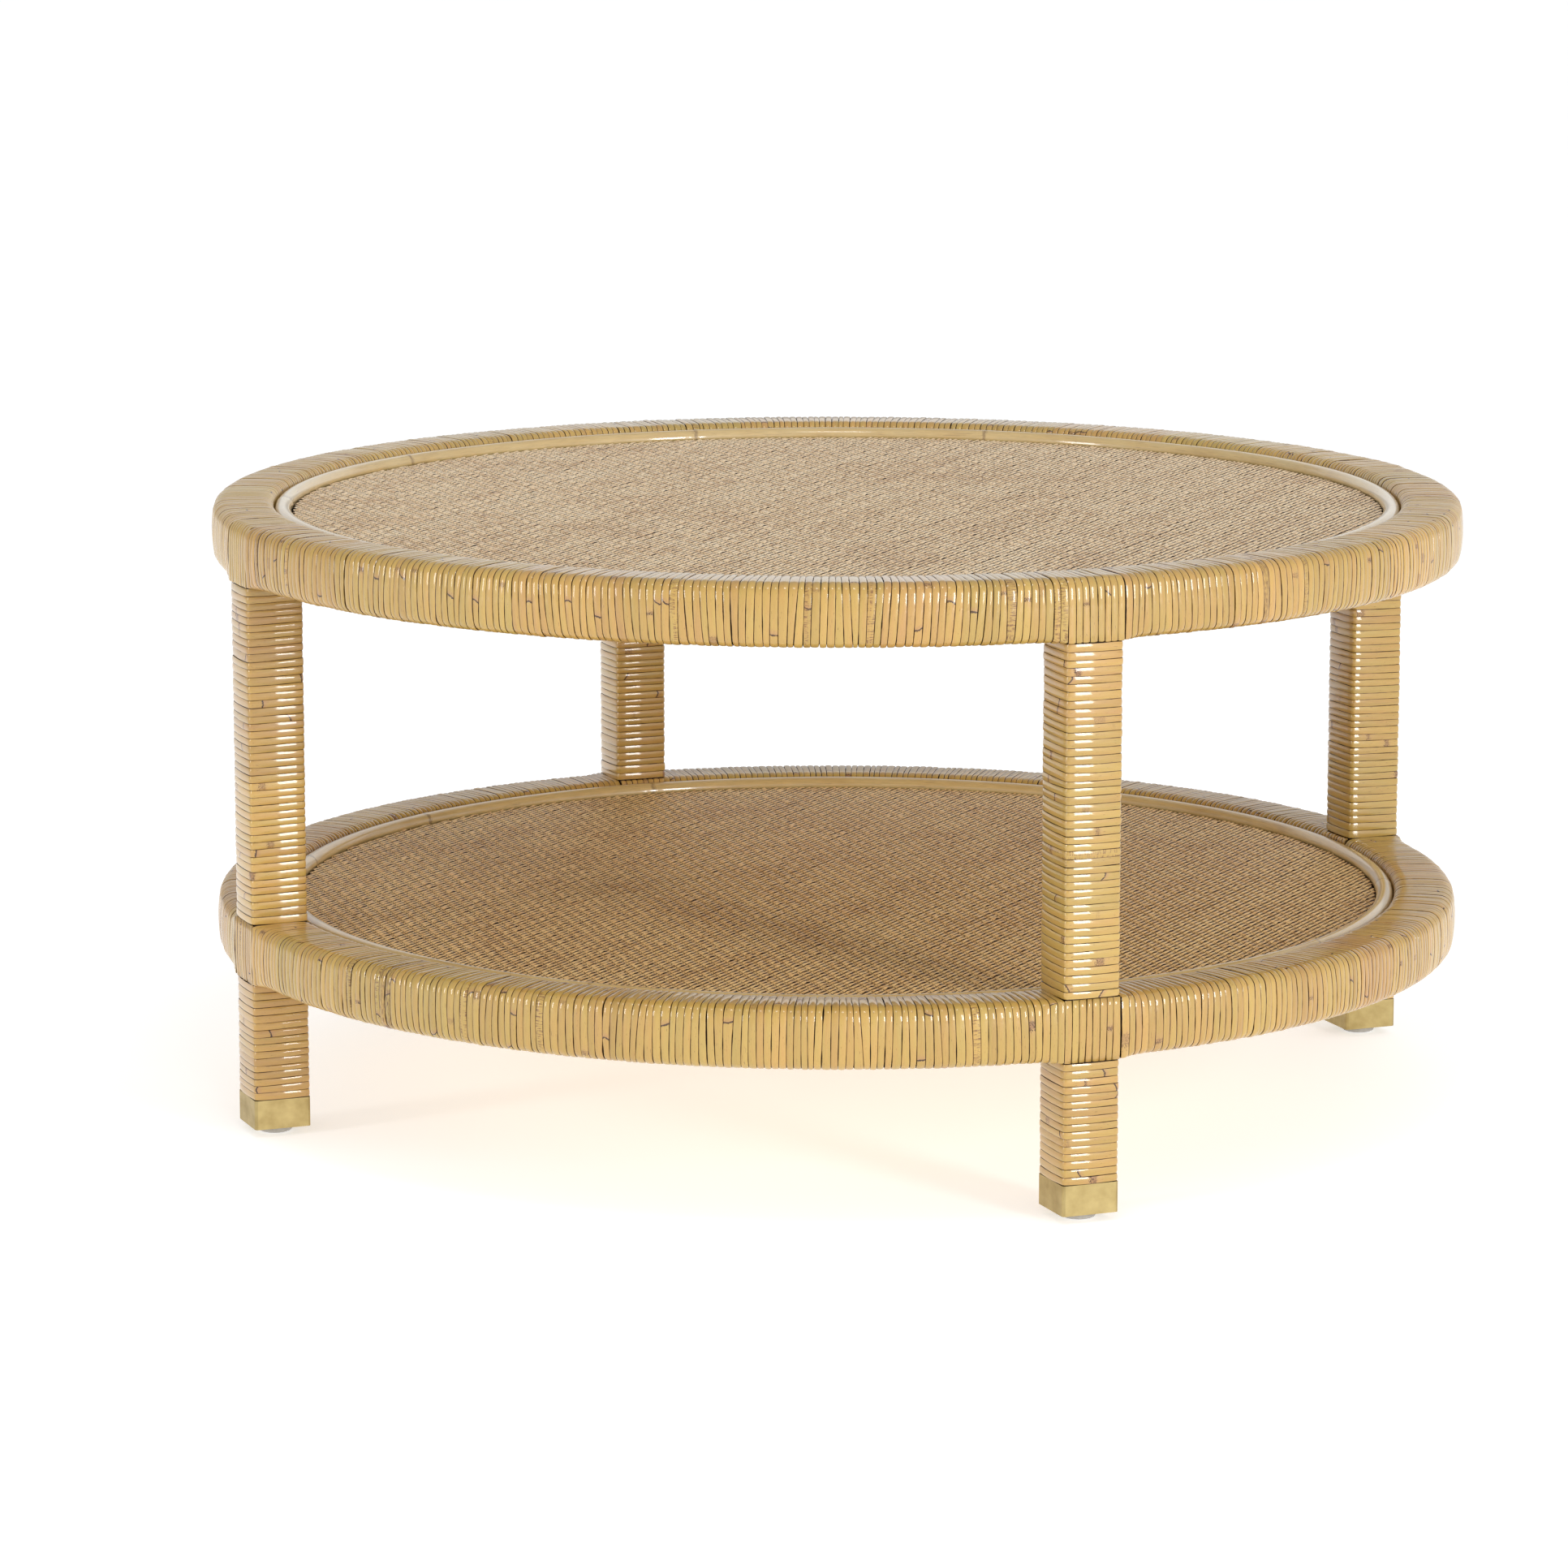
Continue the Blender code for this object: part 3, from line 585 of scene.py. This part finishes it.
class Nodes:
    """Short names for making the nodes of one material."""

    def __init__(self, name):
        self.material = bpy.data.materials.new(name)
        self.material.use_nodes = True
        self.tree = self.material.node_tree
        self.tree.nodes.clear()
        self.shader = self.add("ShaderNodeBsdfPrincipled")
        output = self.add("ShaderNodeOutputMaterial")
        self.link(self.shader.outputs[0], output.inputs[0])

    def add(self, kind, **settings):
        node = self.tree.nodes.new(kind)
        for key, value in settings.items():
            setattr(node, key, value)
        return node

    def link(self, source, target):
        self.tree.links.new(source, target)

    def put(self, socket, value):
        if isinstance(value, bpy.types.NodeSocket):
            self.link(value, socket)
        else:
            socket.default_value = value

    def math(self, operation, a, b=0.0, c=0.0, clamp=False):
        node = self.add("ShaderNodeMath", operation=operation, use_clamp=clamp)
        for socket, value in zip(node.inputs, (a, b, c)):
            self.put(socket, value)
        return node.outputs[0]

    def times(self, a, b):
        return self.math("MULTIPLY", a, b)

    def remap(self, value, low, high, to_low=0.0, to_high=1.0, smooth=False):
        node = self.add("ShaderNodeMapRange", interpolation_type="SMOOTHSTEP" if smooth else "LINEAR")
        for socket, item in zip(node.inputs[:5], (value, low, high, to_low, to_high)):
            self.put(socket, item)
        return node.outputs[0]

    def vector(self, x, y, z):
        node = self.add("ShaderNodeCombineXYZ")
        for socket, value in zip(node.inputs, (x, y, z)):
            self.put(socket, value)
        return node.outputs[0]

    def scaled(self, along, a, across, b, ident):
        """A place for noise: along and across the strand at their own scales, different on each strand."""
        return self.vector(self.times(along, a), self.times(across, b), ident)

    def split(self, attribute):
        source = self.add("ShaderNodeAttribute", attribute_name=attribute)
        node = self.add("ShaderNodeSeparateXYZ")
        self.link(source.outputs["Vector"], node.inputs[0])
        return node.outputs

    def noise(self, vector, scale, detail=2.0, roughness=0.5):
        node = self.add("ShaderNodeTexNoise")
        self.put(node.inputs["Vector"], vector)
        node.inputs["Scale"].default_value = scale
        node.inputs["Detail"].default_value = detail
        node.inputs["Roughness"].default_value = roughness
        return node.outputs[0]

    def ramp(self, value, stops):
        node = self.add("ShaderNodeValToRGB")
        self.put(node.inputs[0], value)
        elements = node.color_ramp.elements
        while len(elements) < len(stops):
            elements.new(0.5)
        for element, (place, colour) in zip(elements, stops):
            element.position = place
            element.color = (*colour, 1.0)
        return node.outputs[0]

    def mix(self, factor, a, b, blend="MIX"):
        node = self.add("ShaderNodeMix", data_type="RGBA", blend_type=blend)
        self.put(node.inputs[0], factor)
        for socket, value in ((node.inputs[6], a), (node.inputs[7], b)):
            self.put(socket, value if isinstance(value, bpy.types.NodeSocket) else (*value, 1.0))
        return node.outputs[2]

    def shaded(self, colour, value):
        """The colour made lighter or darker."""
        return self.mix(1.0, colour, self.vector(value, value, value), "MULTIPLY")

    def bump(self, height, distance, strength):
        node = self.add("ShaderNodeBump")
        node.inputs["Strength"].default_value = strength
        node.inputs["Distance"].default_value = distance
        self.put(node.inputs["Height"], height)
        return node.outputs[0]

    def coordinates(self):
        return self.add("ShaderNodeTexCoord").outputs["Object"]


SCAR_HALO, SCAR, SCAR_CORE = (0.50, 0.27, 0.12), (0.30, 0.145, 0.06), (0.065, 0.026, 0.008)
HOOK_BLUSH, HOOK = (0.42, 0.21, 0.10), (0.055, 0.022, 0.008)
SPLIT, CRACK, PEEL_EDGE_DIRT_AND_SHADE = (0.12, 0.05, 0.018), (0.20, 0.09, 0.03), (0.07, 0.028, 0.009)
WEAVE_DIP_SHADE, WEAVE_EDGE_SHADE = (0.035, 0.015, 0.006), (0.08, 0.036, 0.014)
DIP_SHADE_DEPTH = 0.95                # how dark the painted shade makes a strand where it dips under another
POLE_SCAR, POLE_SLIT = (0.16, 0.08, 0.03), (0.22, 0.12, 0.05)


def peel_material(name, tones):
    """Glossy outer skin of rattan: long fibres, brown scars where leaves grew, dark edges that are partly
    dirt and partly painted shade of the gaps between strands.
    """
    n = Nodes(name)
    along, across, ident = n.split("strand")
    tone, light, from_mark = n.split("look")
    crack, size, dark = n.split("extra")
    fibre = n.noise(n.scaled(along, 0.04, across, 2.4, ident), 3.0, 4.0, 0.6)
    cloud = n.noise(n.scaled(along, 0.03, across, 0.5, ident), 1.6, 2.0)
    colour = n.ramp(n.math("ADD", tone, n.remap(cloud, 0.3, 0.7, -0.2, 0.2)), tones)
    value = n.math("ADD", n.remap(fibre, 0.25, 0.75, 0.90, 1.08), light)
    colour = n.shaded(colour, value)
    # scar where a leaf grew: a brown patch across the strand with darker, ragged ends
    ragged = n.noise(n.scaled(along, 0.45, across, 1.1, ident), 2.6, 4.0, 0.7)
    off = n.math("ABSOLUTE", n.math("ADD", from_mark, n.remap(ragged, 0.2, 0.8, -3.0, 3.0)))
    # or, on every other one, a dark hook from edge to edge with a blush on one side; the hook is partly a
    # crack and partly painted shadow under the lifted skin
    lean, bend, pick = (n.math("FRACT", n.times(ident, k)) for k in (5.31, 9.17, 3.73))
    is_hook = n.math("GREATER_THAN", pick, 0.45)
    curve = n.math("MULTIPLY_ADD", across, n.math("MULTIPLY_ADD", lean, 3.4, -1.7), from_mark)
    squared = n.times(across, across)
    curve = n.math("MULTIPLY_ADD", squared, n.math("MULTIPLY_ADD", bend, 2.4, -1.2), curve)
    curve = n.math("ADD", curve, n.remap(ragged, 0.2, 0.8, -0.7, 0.7))
    hook = n.remap(n.math("ABSOLUTE", curve), n.remap(ragged, 0.35, 0.6, 0.0, 0.45), 0.75, 1.0, 0.0, True)
    blush = n.times(n.remap(curve, -0.3, 0.2), n.remap(curve, 0.3, 4.5, 1.0, 0.0, True))
    beyond = n.math("ADD", n.math("SUBTRACT", off, size), n.times(is_hook, 60.0))
    patch = n.remap(beyond, -0.3, 0.5, 1.0, 0.0, True)
    halo = n.remap(beyond, 0.0, 7.0, 1.0, 0.0, True)
    rim = n.remap(n.math("ABSOLUTE", n.math("ADD", beyond, 0.2)), 0.15, 0.75, 1.0, 0.0, True)
    colour = n.mix(n.times(halo, n.times(dark, 0.35)), colour, SCAR_HALO)
    colour = n.mix(n.times(patch, n.times(dark, 0.8)), colour, SCAR)
    core = n.times(patch, n.remap(ragged, 0.50, 0.60, 0.0, 1.0))
    broken_rim = n.times(rim, n.remap(ragged, 0.44, 0.52))
    stain = n.times(n.math("MAXIMUM", core, broken_rim), dark)
    colour = n.mix(n.math("MULTIPLY", stain, 0.95, clamp=True), colour, SCAR_CORE)
    colour = n.mix(n.times(is_hook, n.times(blush, 0.55)), colour, HOOK_BLUSH)
    colour = n.mix(n.times(is_hook, hook), colour, HOOK)
    # short dark splits along the fibres
    flecked = n.math("GREATER_THAN", crack, 1.5)
    split_noise = n.noise(n.scaled(along, 0.12, across, 3.2, ident), 2.3, 2.0, 0.5)
    split_noise = n.math("MULTIPLY_ADD", flecked, 0.17, split_noise)
    splits = n.remap(split_noise, 0.69, 0.73, 0.0, 0.8)
    colour = n.mix(splits, colour, SPLIT)
    # fine cracks on a few strands
    lines = n.noise(n.scaled(along, 1.1, across, 0.4, ident), 1.3, 2.0, 0.6)
    there = n.noise(n.scaled(along, 0.03, across, 0.9, ident), 1.5, 1.0)
    lines_here = n.times(n.remap(lines, 0.50, 0.60, 0.0, 0.9), n.remap(there, 0.38, 0.52))
    cracked = n.times(n.math("COMPARE", crack, 1.0, 0.4), lines_here)
    colour = n.mix(cracked, colour, CRACK)
    # dark line along the edges, partly dirt and partly painted shade of the gaps between strands, broken in
    # places as where strands press together
    worn = n.noise(n.vector(n.times(along, 0.09), n.math("SIGN", across), ident), 1.3, 2.0, 0.6)
    edge = n.remap(n.math("ABSOLUTE", across), 0.88, 0.96, 0.0, 1.0, True)
    colour = n.mix(n.times(edge, n.remap(worn, 0.35, 0.60, 0.3, 1.0)), colour, PEEL_EDGE_DIRT_AND_SHADE)
    n.link(colour, n.shader.inputs["Base Color"])
    dull = n.times(stain, 0.3)
    n.put(n.shader.inputs["Roughness"], n.math("ADD", n.remap(fibre, 0.2, 0.8, 0.30, 0.44), dull))
    n.shader.inputs["Coat Weight"].default_value = 0.9
    n.shader.inputs["Coat Roughness"].default_value = 0.07
    n.shader.inputs["Specular IOR Level"].default_value = 0.35
    sunk = n.math("ADD", stain, n.times(cracked, 0.7))
    relief = n.math("SUBTRACT", n.times(fibre, 0.5), sunk)
    n.link(n.bump(relief, 0.0004, 0.2), n.shader.inputs["Normal"])
    return n.material


def weave_material(name, tones):
    """Flat strands split from the inside of the cane: duller, paler, with painted shade where they dip and
    along their sides.
    """
    n = Nodes(name)
    along, across, ident = n.split("strand")
    tone, light, height = n.split("look")
    fibre = n.noise(n.scaled(along, 0.10, across, 2.2, ident), 3.0, 3.0, 0.6)
    cloud = n.noise(n.vector(n.times(along, 0.16), across, ident), 1.0, 2.0)
    spot = n.noise(n.coordinates(), 16.0, 3.0, 0.6)
    mixed = n.math("ADD", tone, n.remap(cloud, 0.3, 0.7, -0.35, 0.35))
    colour = n.ramp(n.math("ADD", mixed, n.remap(spot, 0.35, 0.65, -0.15, 0.15)), tones)
    value = n.math("ADD", n.remap(fibre, 0.25, 0.75, 0.84, 1.06), light)
    colour = n.shaded(colour, value)
    # painted shade: the strand darkens where it dips under its neighbour
    dip_shade = n.remap(height, -0.25, -0.8, 0.0, 1.0, True)
    colour = n.mix(n.times(dip_shade, DIP_SHADE_DEPTH), colour, WEAVE_DIP_SHADE)
    # painted shade: the sides of each strand darken towards the holes between strands
    edge = n.remap(n.math("ABSOLUTE", across), 0.70, 1.0, 0.0, 1.0, True)
    colour = n.mix(n.times(edge, n.remap(cloud, 0.35, 0.6, 0.4, 1.0)), colour, WEAVE_EDGE_SHADE)
    n.link(colour, n.shader.inputs["Base Color"])
    n.put(n.shader.inputs["Roughness"], n.remap(fibre, 0.2, 0.8, 0.42, 0.60))
    n.shader.inputs["Coat Weight"].default_value = 0.25
    n.shader.inputs["Coat Roughness"].default_value = 0.3
    n.link(n.bump(fibre, 0.0005, 0.3), n.shader.inputs["Normal"])
    return n.material


def pole_material(name, tones):
    """Peeled, lacquered rattan pole."""
    n = Nodes(name)
    along, around, ident = n.split("strand")
    tone, _, from_mark = n.split("look")
    fibre = n.noise(n.scaled(along, 0.03, around, 2.0, ident), 3.0, 4.0, 0.65)
    cloud = n.noise(n.scaled(along, 0.012, around, 0.2, ident), 2.0, 3.0)
    colour = n.ramp(n.math("ADD", tone, n.remap(cloud, 0.3, 0.7, -0.3, 0.4)), tones)
    value = n.remap(fibre, 0.25, 0.75, 0.86, 1.1)
    colour = n.shaded(colour, value)
    ragged = n.noise(n.vector(n.times(along, 0.3), around, ident), 2.0, 4.0, 0.7)
    off = n.math("ADD", from_mark, n.remap(ragged, 0.2, 0.8, -2.0, 2.0))
    scar = n.remap(n.math("ABSOLUTE", off), 0.2, 2.2, 1.0, 0.0, True)
    colour = n.mix(n.times(scar, 0.6), colour, POLE_SCAR)
    slit = n.noise(n.scaled(along, 0.02, around, 4.0, ident), 3.0, 2.0, 0.5)
    colour = n.mix(n.remap(slit, 0.64, 0.70, 0.0, 0.45), colour, POLE_SLIT)
    n.link(colour, n.shader.inputs["Base Color"])
    n.put(n.shader.inputs["Roughness"], n.remap(fibre, 0.2, 0.8, 0.30, 0.46))
    n.shader.inputs["Coat Weight"].default_value = 1.0
    n.shader.inputs["Coat Roughness"].default_value = 0.1
    n.shader.inputs["Coat IOR"].default_value = 1.6
    n.link(n.bump(fibre, 0.0005, 0.25), n.shader.inputs["Normal"])
    return n.material


def wood_material(name, dark, pale, stretch, roughness):
    """Plain grain along the table's X axis."""
    n = Nodes(name)
    split = n.add("ShaderNodeSeparateXYZ")
    n.link(n.coordinates(), split.inputs[0])
    x, y, z = split.outputs
    place = n.vector(n.times(x, stretch), y, z)
    grain = n.noise(place, 60.0, 5.0, 0.6)
    bands = n.noise(place, 14.0, 2.0, 0.5)
    colour = n.mix(n.remap(grain, 0.3, 0.7), dark, pale)
    value = n.remap(bands, 0.3, 0.7, 0.8, 1.15)
    n.link(n.shaded(colour, value), n.shader.inputs["Base Color"])
    n.put(n.shader.inputs["Roughness"], n.remap(grain, 0.2, 0.8, roughness, roughness + 0.15))
    n.link(n.bump(grain, 0.0006, 0.3), n.shader.inputs["Normal"])
    return n.material


def metal_material(name, low, high, roughness, stretch):
    """Brushed metal with faint level lines."""
    n = Nodes(name)
    split = n.add("ShaderNodeSeparateXYZ")
    n.link(n.coordinates(), split.inputs[0])
    x, y, z = split.outputs
    brushed = n.noise(n.vector(x, y, n.times(z, stretch)), 45.0, 4.0, 0.65)
    stain = n.noise(n.coordinates(), 70.0, 3.0, 0.6)
    colour = n.mix(n.remap(stain, 0.3, 0.75), high, low)
    n.link(colour, n.shader.inputs["Base Color"])
    n.shader.inputs["Metallic"].default_value = 1.0
    rough = n.math("ADD", n.remap(brushed, 0.25, 0.75, roughness - 0.04, roughness + 0.06),
                   n.remap(stain, 0.45, 0.75, 0.0, 0.08))
    n.put(n.shader.inputs["Roughness"], rough)
    n.link(n.bump(brushed, 0.0002, 0.12), n.shader.inputs["Normal"])
    return n.material


def plastic_material(name, colour_a, colour_b):
    n = Nodes(name)
    speck = n.noise(n.coordinates(), 400.0, 3.0, 0.6)
    n.link(n.mix(n.remap(speck, 0.3, 0.7), colour_a, colour_b), n.shader.inputs["Base Color"])
    n.put(n.shader.inputs["Roughness"], n.remap(speck, 0.2, 0.8, 0.38, 0.5))
    n.link(n.bump(speck, 0.0002, 0.15), n.shader.inputs["Normal"])
    return n.material


# Colours along each material's range of tones
PEEL_TONES = [(0.0, (0.475, 0.325, 0.083)), (0.35, (0.49, 0.312, 0.078)),
              (0.65, (0.505, 0.298, 0.079)), (1.0, (0.475, 0.265, 0.086))]
WEAVE_TONES = [(0.0, (0.97, 0.77, 0.51)), (0.4, (0.95, 0.70, 0.42)),
               (0.7, (0.74, 0.49, 0.27)), (1.0, (0.55, 0.34, 0.18))]
# painted light: the shelf's cane is the same as the top's; its more golden tones stand in for how it is lit
# under the top, with less white reflection
SHELF_PAINTED_LIGHT_TONES = [(0.0, (0.97, 0.70, 0.33)), (0.4, (0.94, 0.63, 0.28)),
               (0.7, (0.78, 0.48, 0.20)), (1.0, (0.58, 0.33, 0.13))]
POLE_TONES = [(0.0, (0.64, 0.48, 0.22)), (0.5, (0.60, 0.42, 0.17)), (1.0, (0.50, 0.32, 0.12))]

peel = peel_material("rattan_peel_lacquered", PEEL_TONES)
weaves = {"top": weave_material("woven_cane", WEAVE_TONES),
          "lower": weave_material("woven_cane_shelf_painted_light", SHELF_PAINTED_LIGHT_TONES)}
pole = pole_material("rattan_pole_lacquered", POLE_TONES)
# partly painted shade: the hardwood core is made very dark, so that where it shows between strands it stands
# in for the shade of the gaps
core_wood = wood_material("dark_hardwood_and_gap_shade", (0.045, 0.022, 0.010), (0.09, 0.045, 0.02), 0.15, 0.6)
board_wood = wood_material("plywood_birch", (0.62, 0.45, 0.26), (0.76, 0.60, 0.38), 0.08, 0.55)
brass = metal_material("brushed_brass", (0.36, 0.27, 0.11), (0.52, 0.41, 0.19), 0.40, 40.0)
steel = metal_material("zinc_steel", (0.45, 0.45, 0.46), (0.62, 0.62, 0.63), 0.35, 10.0)
grey_plastic = plastic_material("grey_plastic", (0.36, 0.34, 0.31), (0.44, 0.42, 0.39))
# painted shade: the dark sheet under each weave
ground = wood_material("painted_shade_ground", (0.028, 0.014, 0.007), (0.05, 0.027, 0.012), 1.0, 0.8)


# The CAD pieces that stay

BY_SLOT = {"hardwood": core_wood, "plywood": board_wood, "brass": brass, "steel": steel,
           "grey_plastic": grey_plastic}
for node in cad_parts.values():
    for slot_index, old in enumerate(node.data.materials):
        base = old.name.split(".")[0] if old else ""
        if base in BY_SLOT:
            node.data.materials[slot_index] = BY_SLOT[base]

# The wrappings

CROSS_CRACKS, DARK_FLECKS = 1.0, 2.0
WORN = {("top", "front_left"): ((-1, CROSS_CRACKS), (-2, CROSS_CRACKS), (12, CROSS_CRACKS), (3, DARK_FLECKS)),
        ("lower", "front_left"): ((33, DARK_FLECKS), (34, DARK_FLECKS), (47, CROSS_CRACKS)),
        ("top", "front_right"): ((22, DARK_FLECKS),)}
EASE = 0.8                      # bend of the wrapping's lower edge at a joint, and its swell
SEAM = 0.0003                   # half the angle between a joint's wrapping and its neighbour
half_angle = math.asin(JOINT_HALF / RING_OUTER)
quarter_count = round((math.pi / 2 - 2 * half_angle) * RING_OUTER / STRAND)
for tier in TIERS:
    low_corner, high_corner = box_mm(f"{tier}_wrap_front_right")
    low, high = low_corner[2], high_corner[2]
    inner = BEAD_CENTRE + BEAD_RADIUS + 0.3
    outline = ring_outline(inner, RING_OUTER, low, high, RING_CORNER, RING_BULGE)
    for quarter, degrees in QUARTERS.items():
        start = math.radians(degrees) + half_angle + 0.45 / RING_OUTER
        end = math.radians(degrees) + math.pi / 2 - half_angle
        ring_strands(f"{tier}_peel_{quarter}", f"{tier}_wrap_{quarter}", outline, True, start, end,
                     quarter_count, False, 2, peel, tier == "lower", WORN.get((tier, quarter), ()))
    # the turns over each joint are open loops that stop at the leg
    joint = outline_points([(JOINT_FACE - EASE, low + EASE, EASE, 270)]
                           + square_bends(inner, JOINT_FACE, low, high, RING_CORNER)[2:], [7, 5, 3])
    face = joint[:, 0] > JOINT_FACE - 3
    reach = np.clip((joint[face, 1] - (low + high) / 2) / (high - low) * 2, 0, 1)
    joint[face, 0] += EASE - 1.9 * reach ** 2
    if tier == "lower":
        plate = np.array([(JOINT_FACE + EASE - EASE * (k / 4 - 1) ** 2,
                           low + 0.3 + (high - low - 0.6) * k / 8) for k in range(9)])
        inside = np.array([(LEG_CENTRE - LEG_HALF - 0.4, high), (inner + 1.6, high - 0.3),
                           (inner + 0.4, high - 1.6)]
                          + [(inner, high - 3.5 - (high - low - 7) * k / 4) for k in range(5)]
                          + [(inner + 0.4, low + 1.6), (inner + 1.6, low + 0.3)])
        outlines = {"plate": plate, "inside": inside}
    else:
        tail = np.array([(inner, high - 16.0), (inner, low + 14.0), (inner, low + 1.0)])
        outlines = {"": np.vstack([joint[:-3], tail])}
    for leg, degrees in LEGS.items():
        middle = math.radians(degrees)
        for part, shape in outlines.items():
            label = f"{tier}_joint_peel_{leg}" + (f"_{part}" if part else "")
            outside = part != "inside"
            ring_strands(label, f"{tier}_joint_wrap_{leg}" if outside else None, shape, False,
                         middle - half_angle + SEAM, middle + half_angle - SEAM, JOINT_STRANDS,
                         outside, 1, peel)

for leg, degrees in LEGS.items():
    for part in ("upper", "lower"):
        low_corner, high_corner = box_mm(f"{part}_leg_wrap_{leg}")
        low, high = low_corner[2], high_corner[2]
        leg_strands(f"{part}_leg_peel_{leg}", f"{part}_leg_wrap_{leg}", low, high,
                    round((high - low) / LEG_STRAND), degrees, peel)

# The panels

for tier in TIERS:
    surface = box_mm(f"{tier}_weave")[1][2]
    weave_strands(f"{tier}_weave_long", f"{tier}_weave", surface, WEAVE_TURN[tier], "long", weaves[tier])
    weave_strands(f"{tier}_weave_short", None, surface, WEAVE_TURN[tier], "short", weaves[tier])
    # painted shade: a dark sheet under the weave, for the shade in its holes
    painted_shade_sheet(f"{tier}_weave_painted_shade", surface - SHADE_SHEET_DROP, ground)
    low, high = box_mm(f"{tier}_bead")
    bead_ring(f"{tier}_edge_pole", f"{tier}_bead", (low[2] + high[2]) / 2, pole)


# Studio and camera

CAMERA_AZIMUTH = -22.187        # degrees from the front leg, towards the left leg
CAMERA_DISTANCE = 3.945
CAMERA_HEIGHT = 0.937
CAMERA_HEADING = 21.673
CAMERA_PITCH = 10.53
LENS = 136.44
# name: azimuth, distance, height, width, tall, radiance, height of the point aimed at
LIGHTS = {"key": (16.0, 4.2, 1.12, 0.7, 1.7, 19.0, 0.3),
          "side": (-80.0, 4.2, 1.12, 0.6, 1.7, 11.5, 0.3),
          "above": (CAMERA_AZIMUTH, 1.2, 2.8, 0.45, 0.45, 9.0, 0.3),
          "back panel": (CAMERA_AZIMUTH + 180, 1.7, 0.95, 3.4, 0.75, 0.52, 0.6)}
ROOM_DARK, ROOM_BRIGHT = 0.40, 0.94             # at the darkest and brightest side
ROOM_LOW, ROOM_OVERHEAD = 1.12, 0.90            # factors near the ground and overhead
FLOOR_GLOW = 0.51


def place(azimuth, distance, height):
    a = math.radians(azimuth)
    return (math.sin(a) * distance, -math.cos(a) * distance, height)


def aimed(obj, location, target):
    obj.location = location
    direction = Vector(target) - Vector(location)
    obj.rotation_euler = direction.to_track_quat("-Z", "Y").to_euler()


camera_data = bpy.data.cameras.new("camera")
camera = bpy.data.objects.new("camera", camera_data)
bpy.context.scene.collection.objects.link(camera)
camera_data.lens = LENS
camera_data.sensor_width = 36.0
camera.location = place(CAMERA_AZIMUTH, CAMERA_DISTANCE, CAMERA_HEIGHT)
camera.rotation_euler = (math.radians(90 - CAMERA_PITCH), 0.0, math.radians(-CAMERA_HEADING))
bpy.context.scene.camera = camera


def area_light(name, azimuth, distance, height, width, tall, radiance, aim):
    data = bpy.data.lights.new(name, "AREA")
    data.shape = "RECTANGLE"
    data.size, data.size_y = width, tall
    data.energy = math.pi * width * tall * radiance
    light = bpy.data.objects.new(name, data)
    bpy.context.scene.collection.objects.link(light)
    aimed(light, place(azimuth, distance, height), (0, 0, aim))
    light.visible_camera = False


for light_name, settings in LIGHTS.items():
    area_light(light_name, *settings)


def soft_room():
    """White all round, brighter near the ground at the front and right than elsewhere."""
    world = bpy.data.worlds.new("studio")
    world.use_nodes = True
    nodes, link = world.node_tree.nodes, world.node_tree.links.new
    background = nodes["Background"]
    background.inputs[0].default_value = (1.0, 1.0, 1.0, 1.0)
    coordinates = nodes.new("ShaderNodeTexCoord")
    axis = nodes.new("ShaderNodeVectorMath")
    axis.operation = "DOT_PRODUCT"
    bright = math.radians(CAMERA_AZIMUTH + 40)
    axis.inputs[1].default_value = (math.sin(bright), -math.cos(bright), 0.0)
    side = nodes.new("ShaderNodeMapRange")
    for socket, value in zip(side.inputs[1:5], (-1.0, 1.0, ROOM_DARK, ROOM_BRIGHT)):
        socket.default_value = value
    split = nodes.new("ShaderNodeSeparateXYZ")
    up = nodes.new("ShaderNodeMapRange")
    for socket, value in zip(up.inputs[1:5], (0.0, 0.5, ROOM_LOW, ROOM_OVERHEAD)):
        socket.default_value = value
    both = nodes.new("ShaderNodeMath")
    both.operation = "MULTIPLY"
    seen = nodes.new("ShaderNodeLightPath")
    pick = nodes.new("ShaderNodeMapRange")
    link(coordinates.outputs["Generated"], axis.inputs[0])
    link(axis.outputs["Value"], side.inputs[0])
    link(coordinates.outputs["Generated"], split.inputs[0])
    link(split.outputs[2], up.inputs[0])
    link(side.outputs[0], both.inputs[0])
    link(up.outputs[0], both.inputs[1])
    link(seen.outputs["Is Camera Ray"], pick.inputs[0])
    link(both.outputs[0], pick.inputs[3])
    pick.inputs[4].default_value = 1.0
    link(pick.outputs[0], background.inputs[1])
    bpy.context.scene.world = world


soft_room()
bpy.context.scene.view_settings.view_transform = "Standard"


def pale_floor():
    n = Nodes("studio_floor")
    tint = n.noise(n.coordinates(), 1.5, 2.0)
    colour = n.mix(n.remap(tint, 0.3, 0.7), (0.80, 0.80, 0.80), (0.83, 0.83, 0.83))
    n.link(colour, n.shader.inputs["Base Color"])
    n.shader.inputs["Roughness"].default_value = 0.9
    n.shader.inputs["Specular IOR Level"].default_value = 0.0
    n.shader.inputs["Emission Color"].default_value = (1.0, 1.0, 1.0, 1.0)
    n.shader.inputs["Emission Strength"].default_value = FLOOR_GLOW
    size, floor = 30.0, bpy.data.meshes.new("floor")
    corners = [(-size, -size, 0), (size, -size, 0), (size, size, 0), (-size, size, 0)]
    floor.from_pydata(corners, [], [(0, 1, 2, 3)])
    floor.materials.append(n.material)
    obj = bpy.data.objects.new("floor", floor)
    bpy.context.scene.collection.objects.link(obj)


pale_floor()
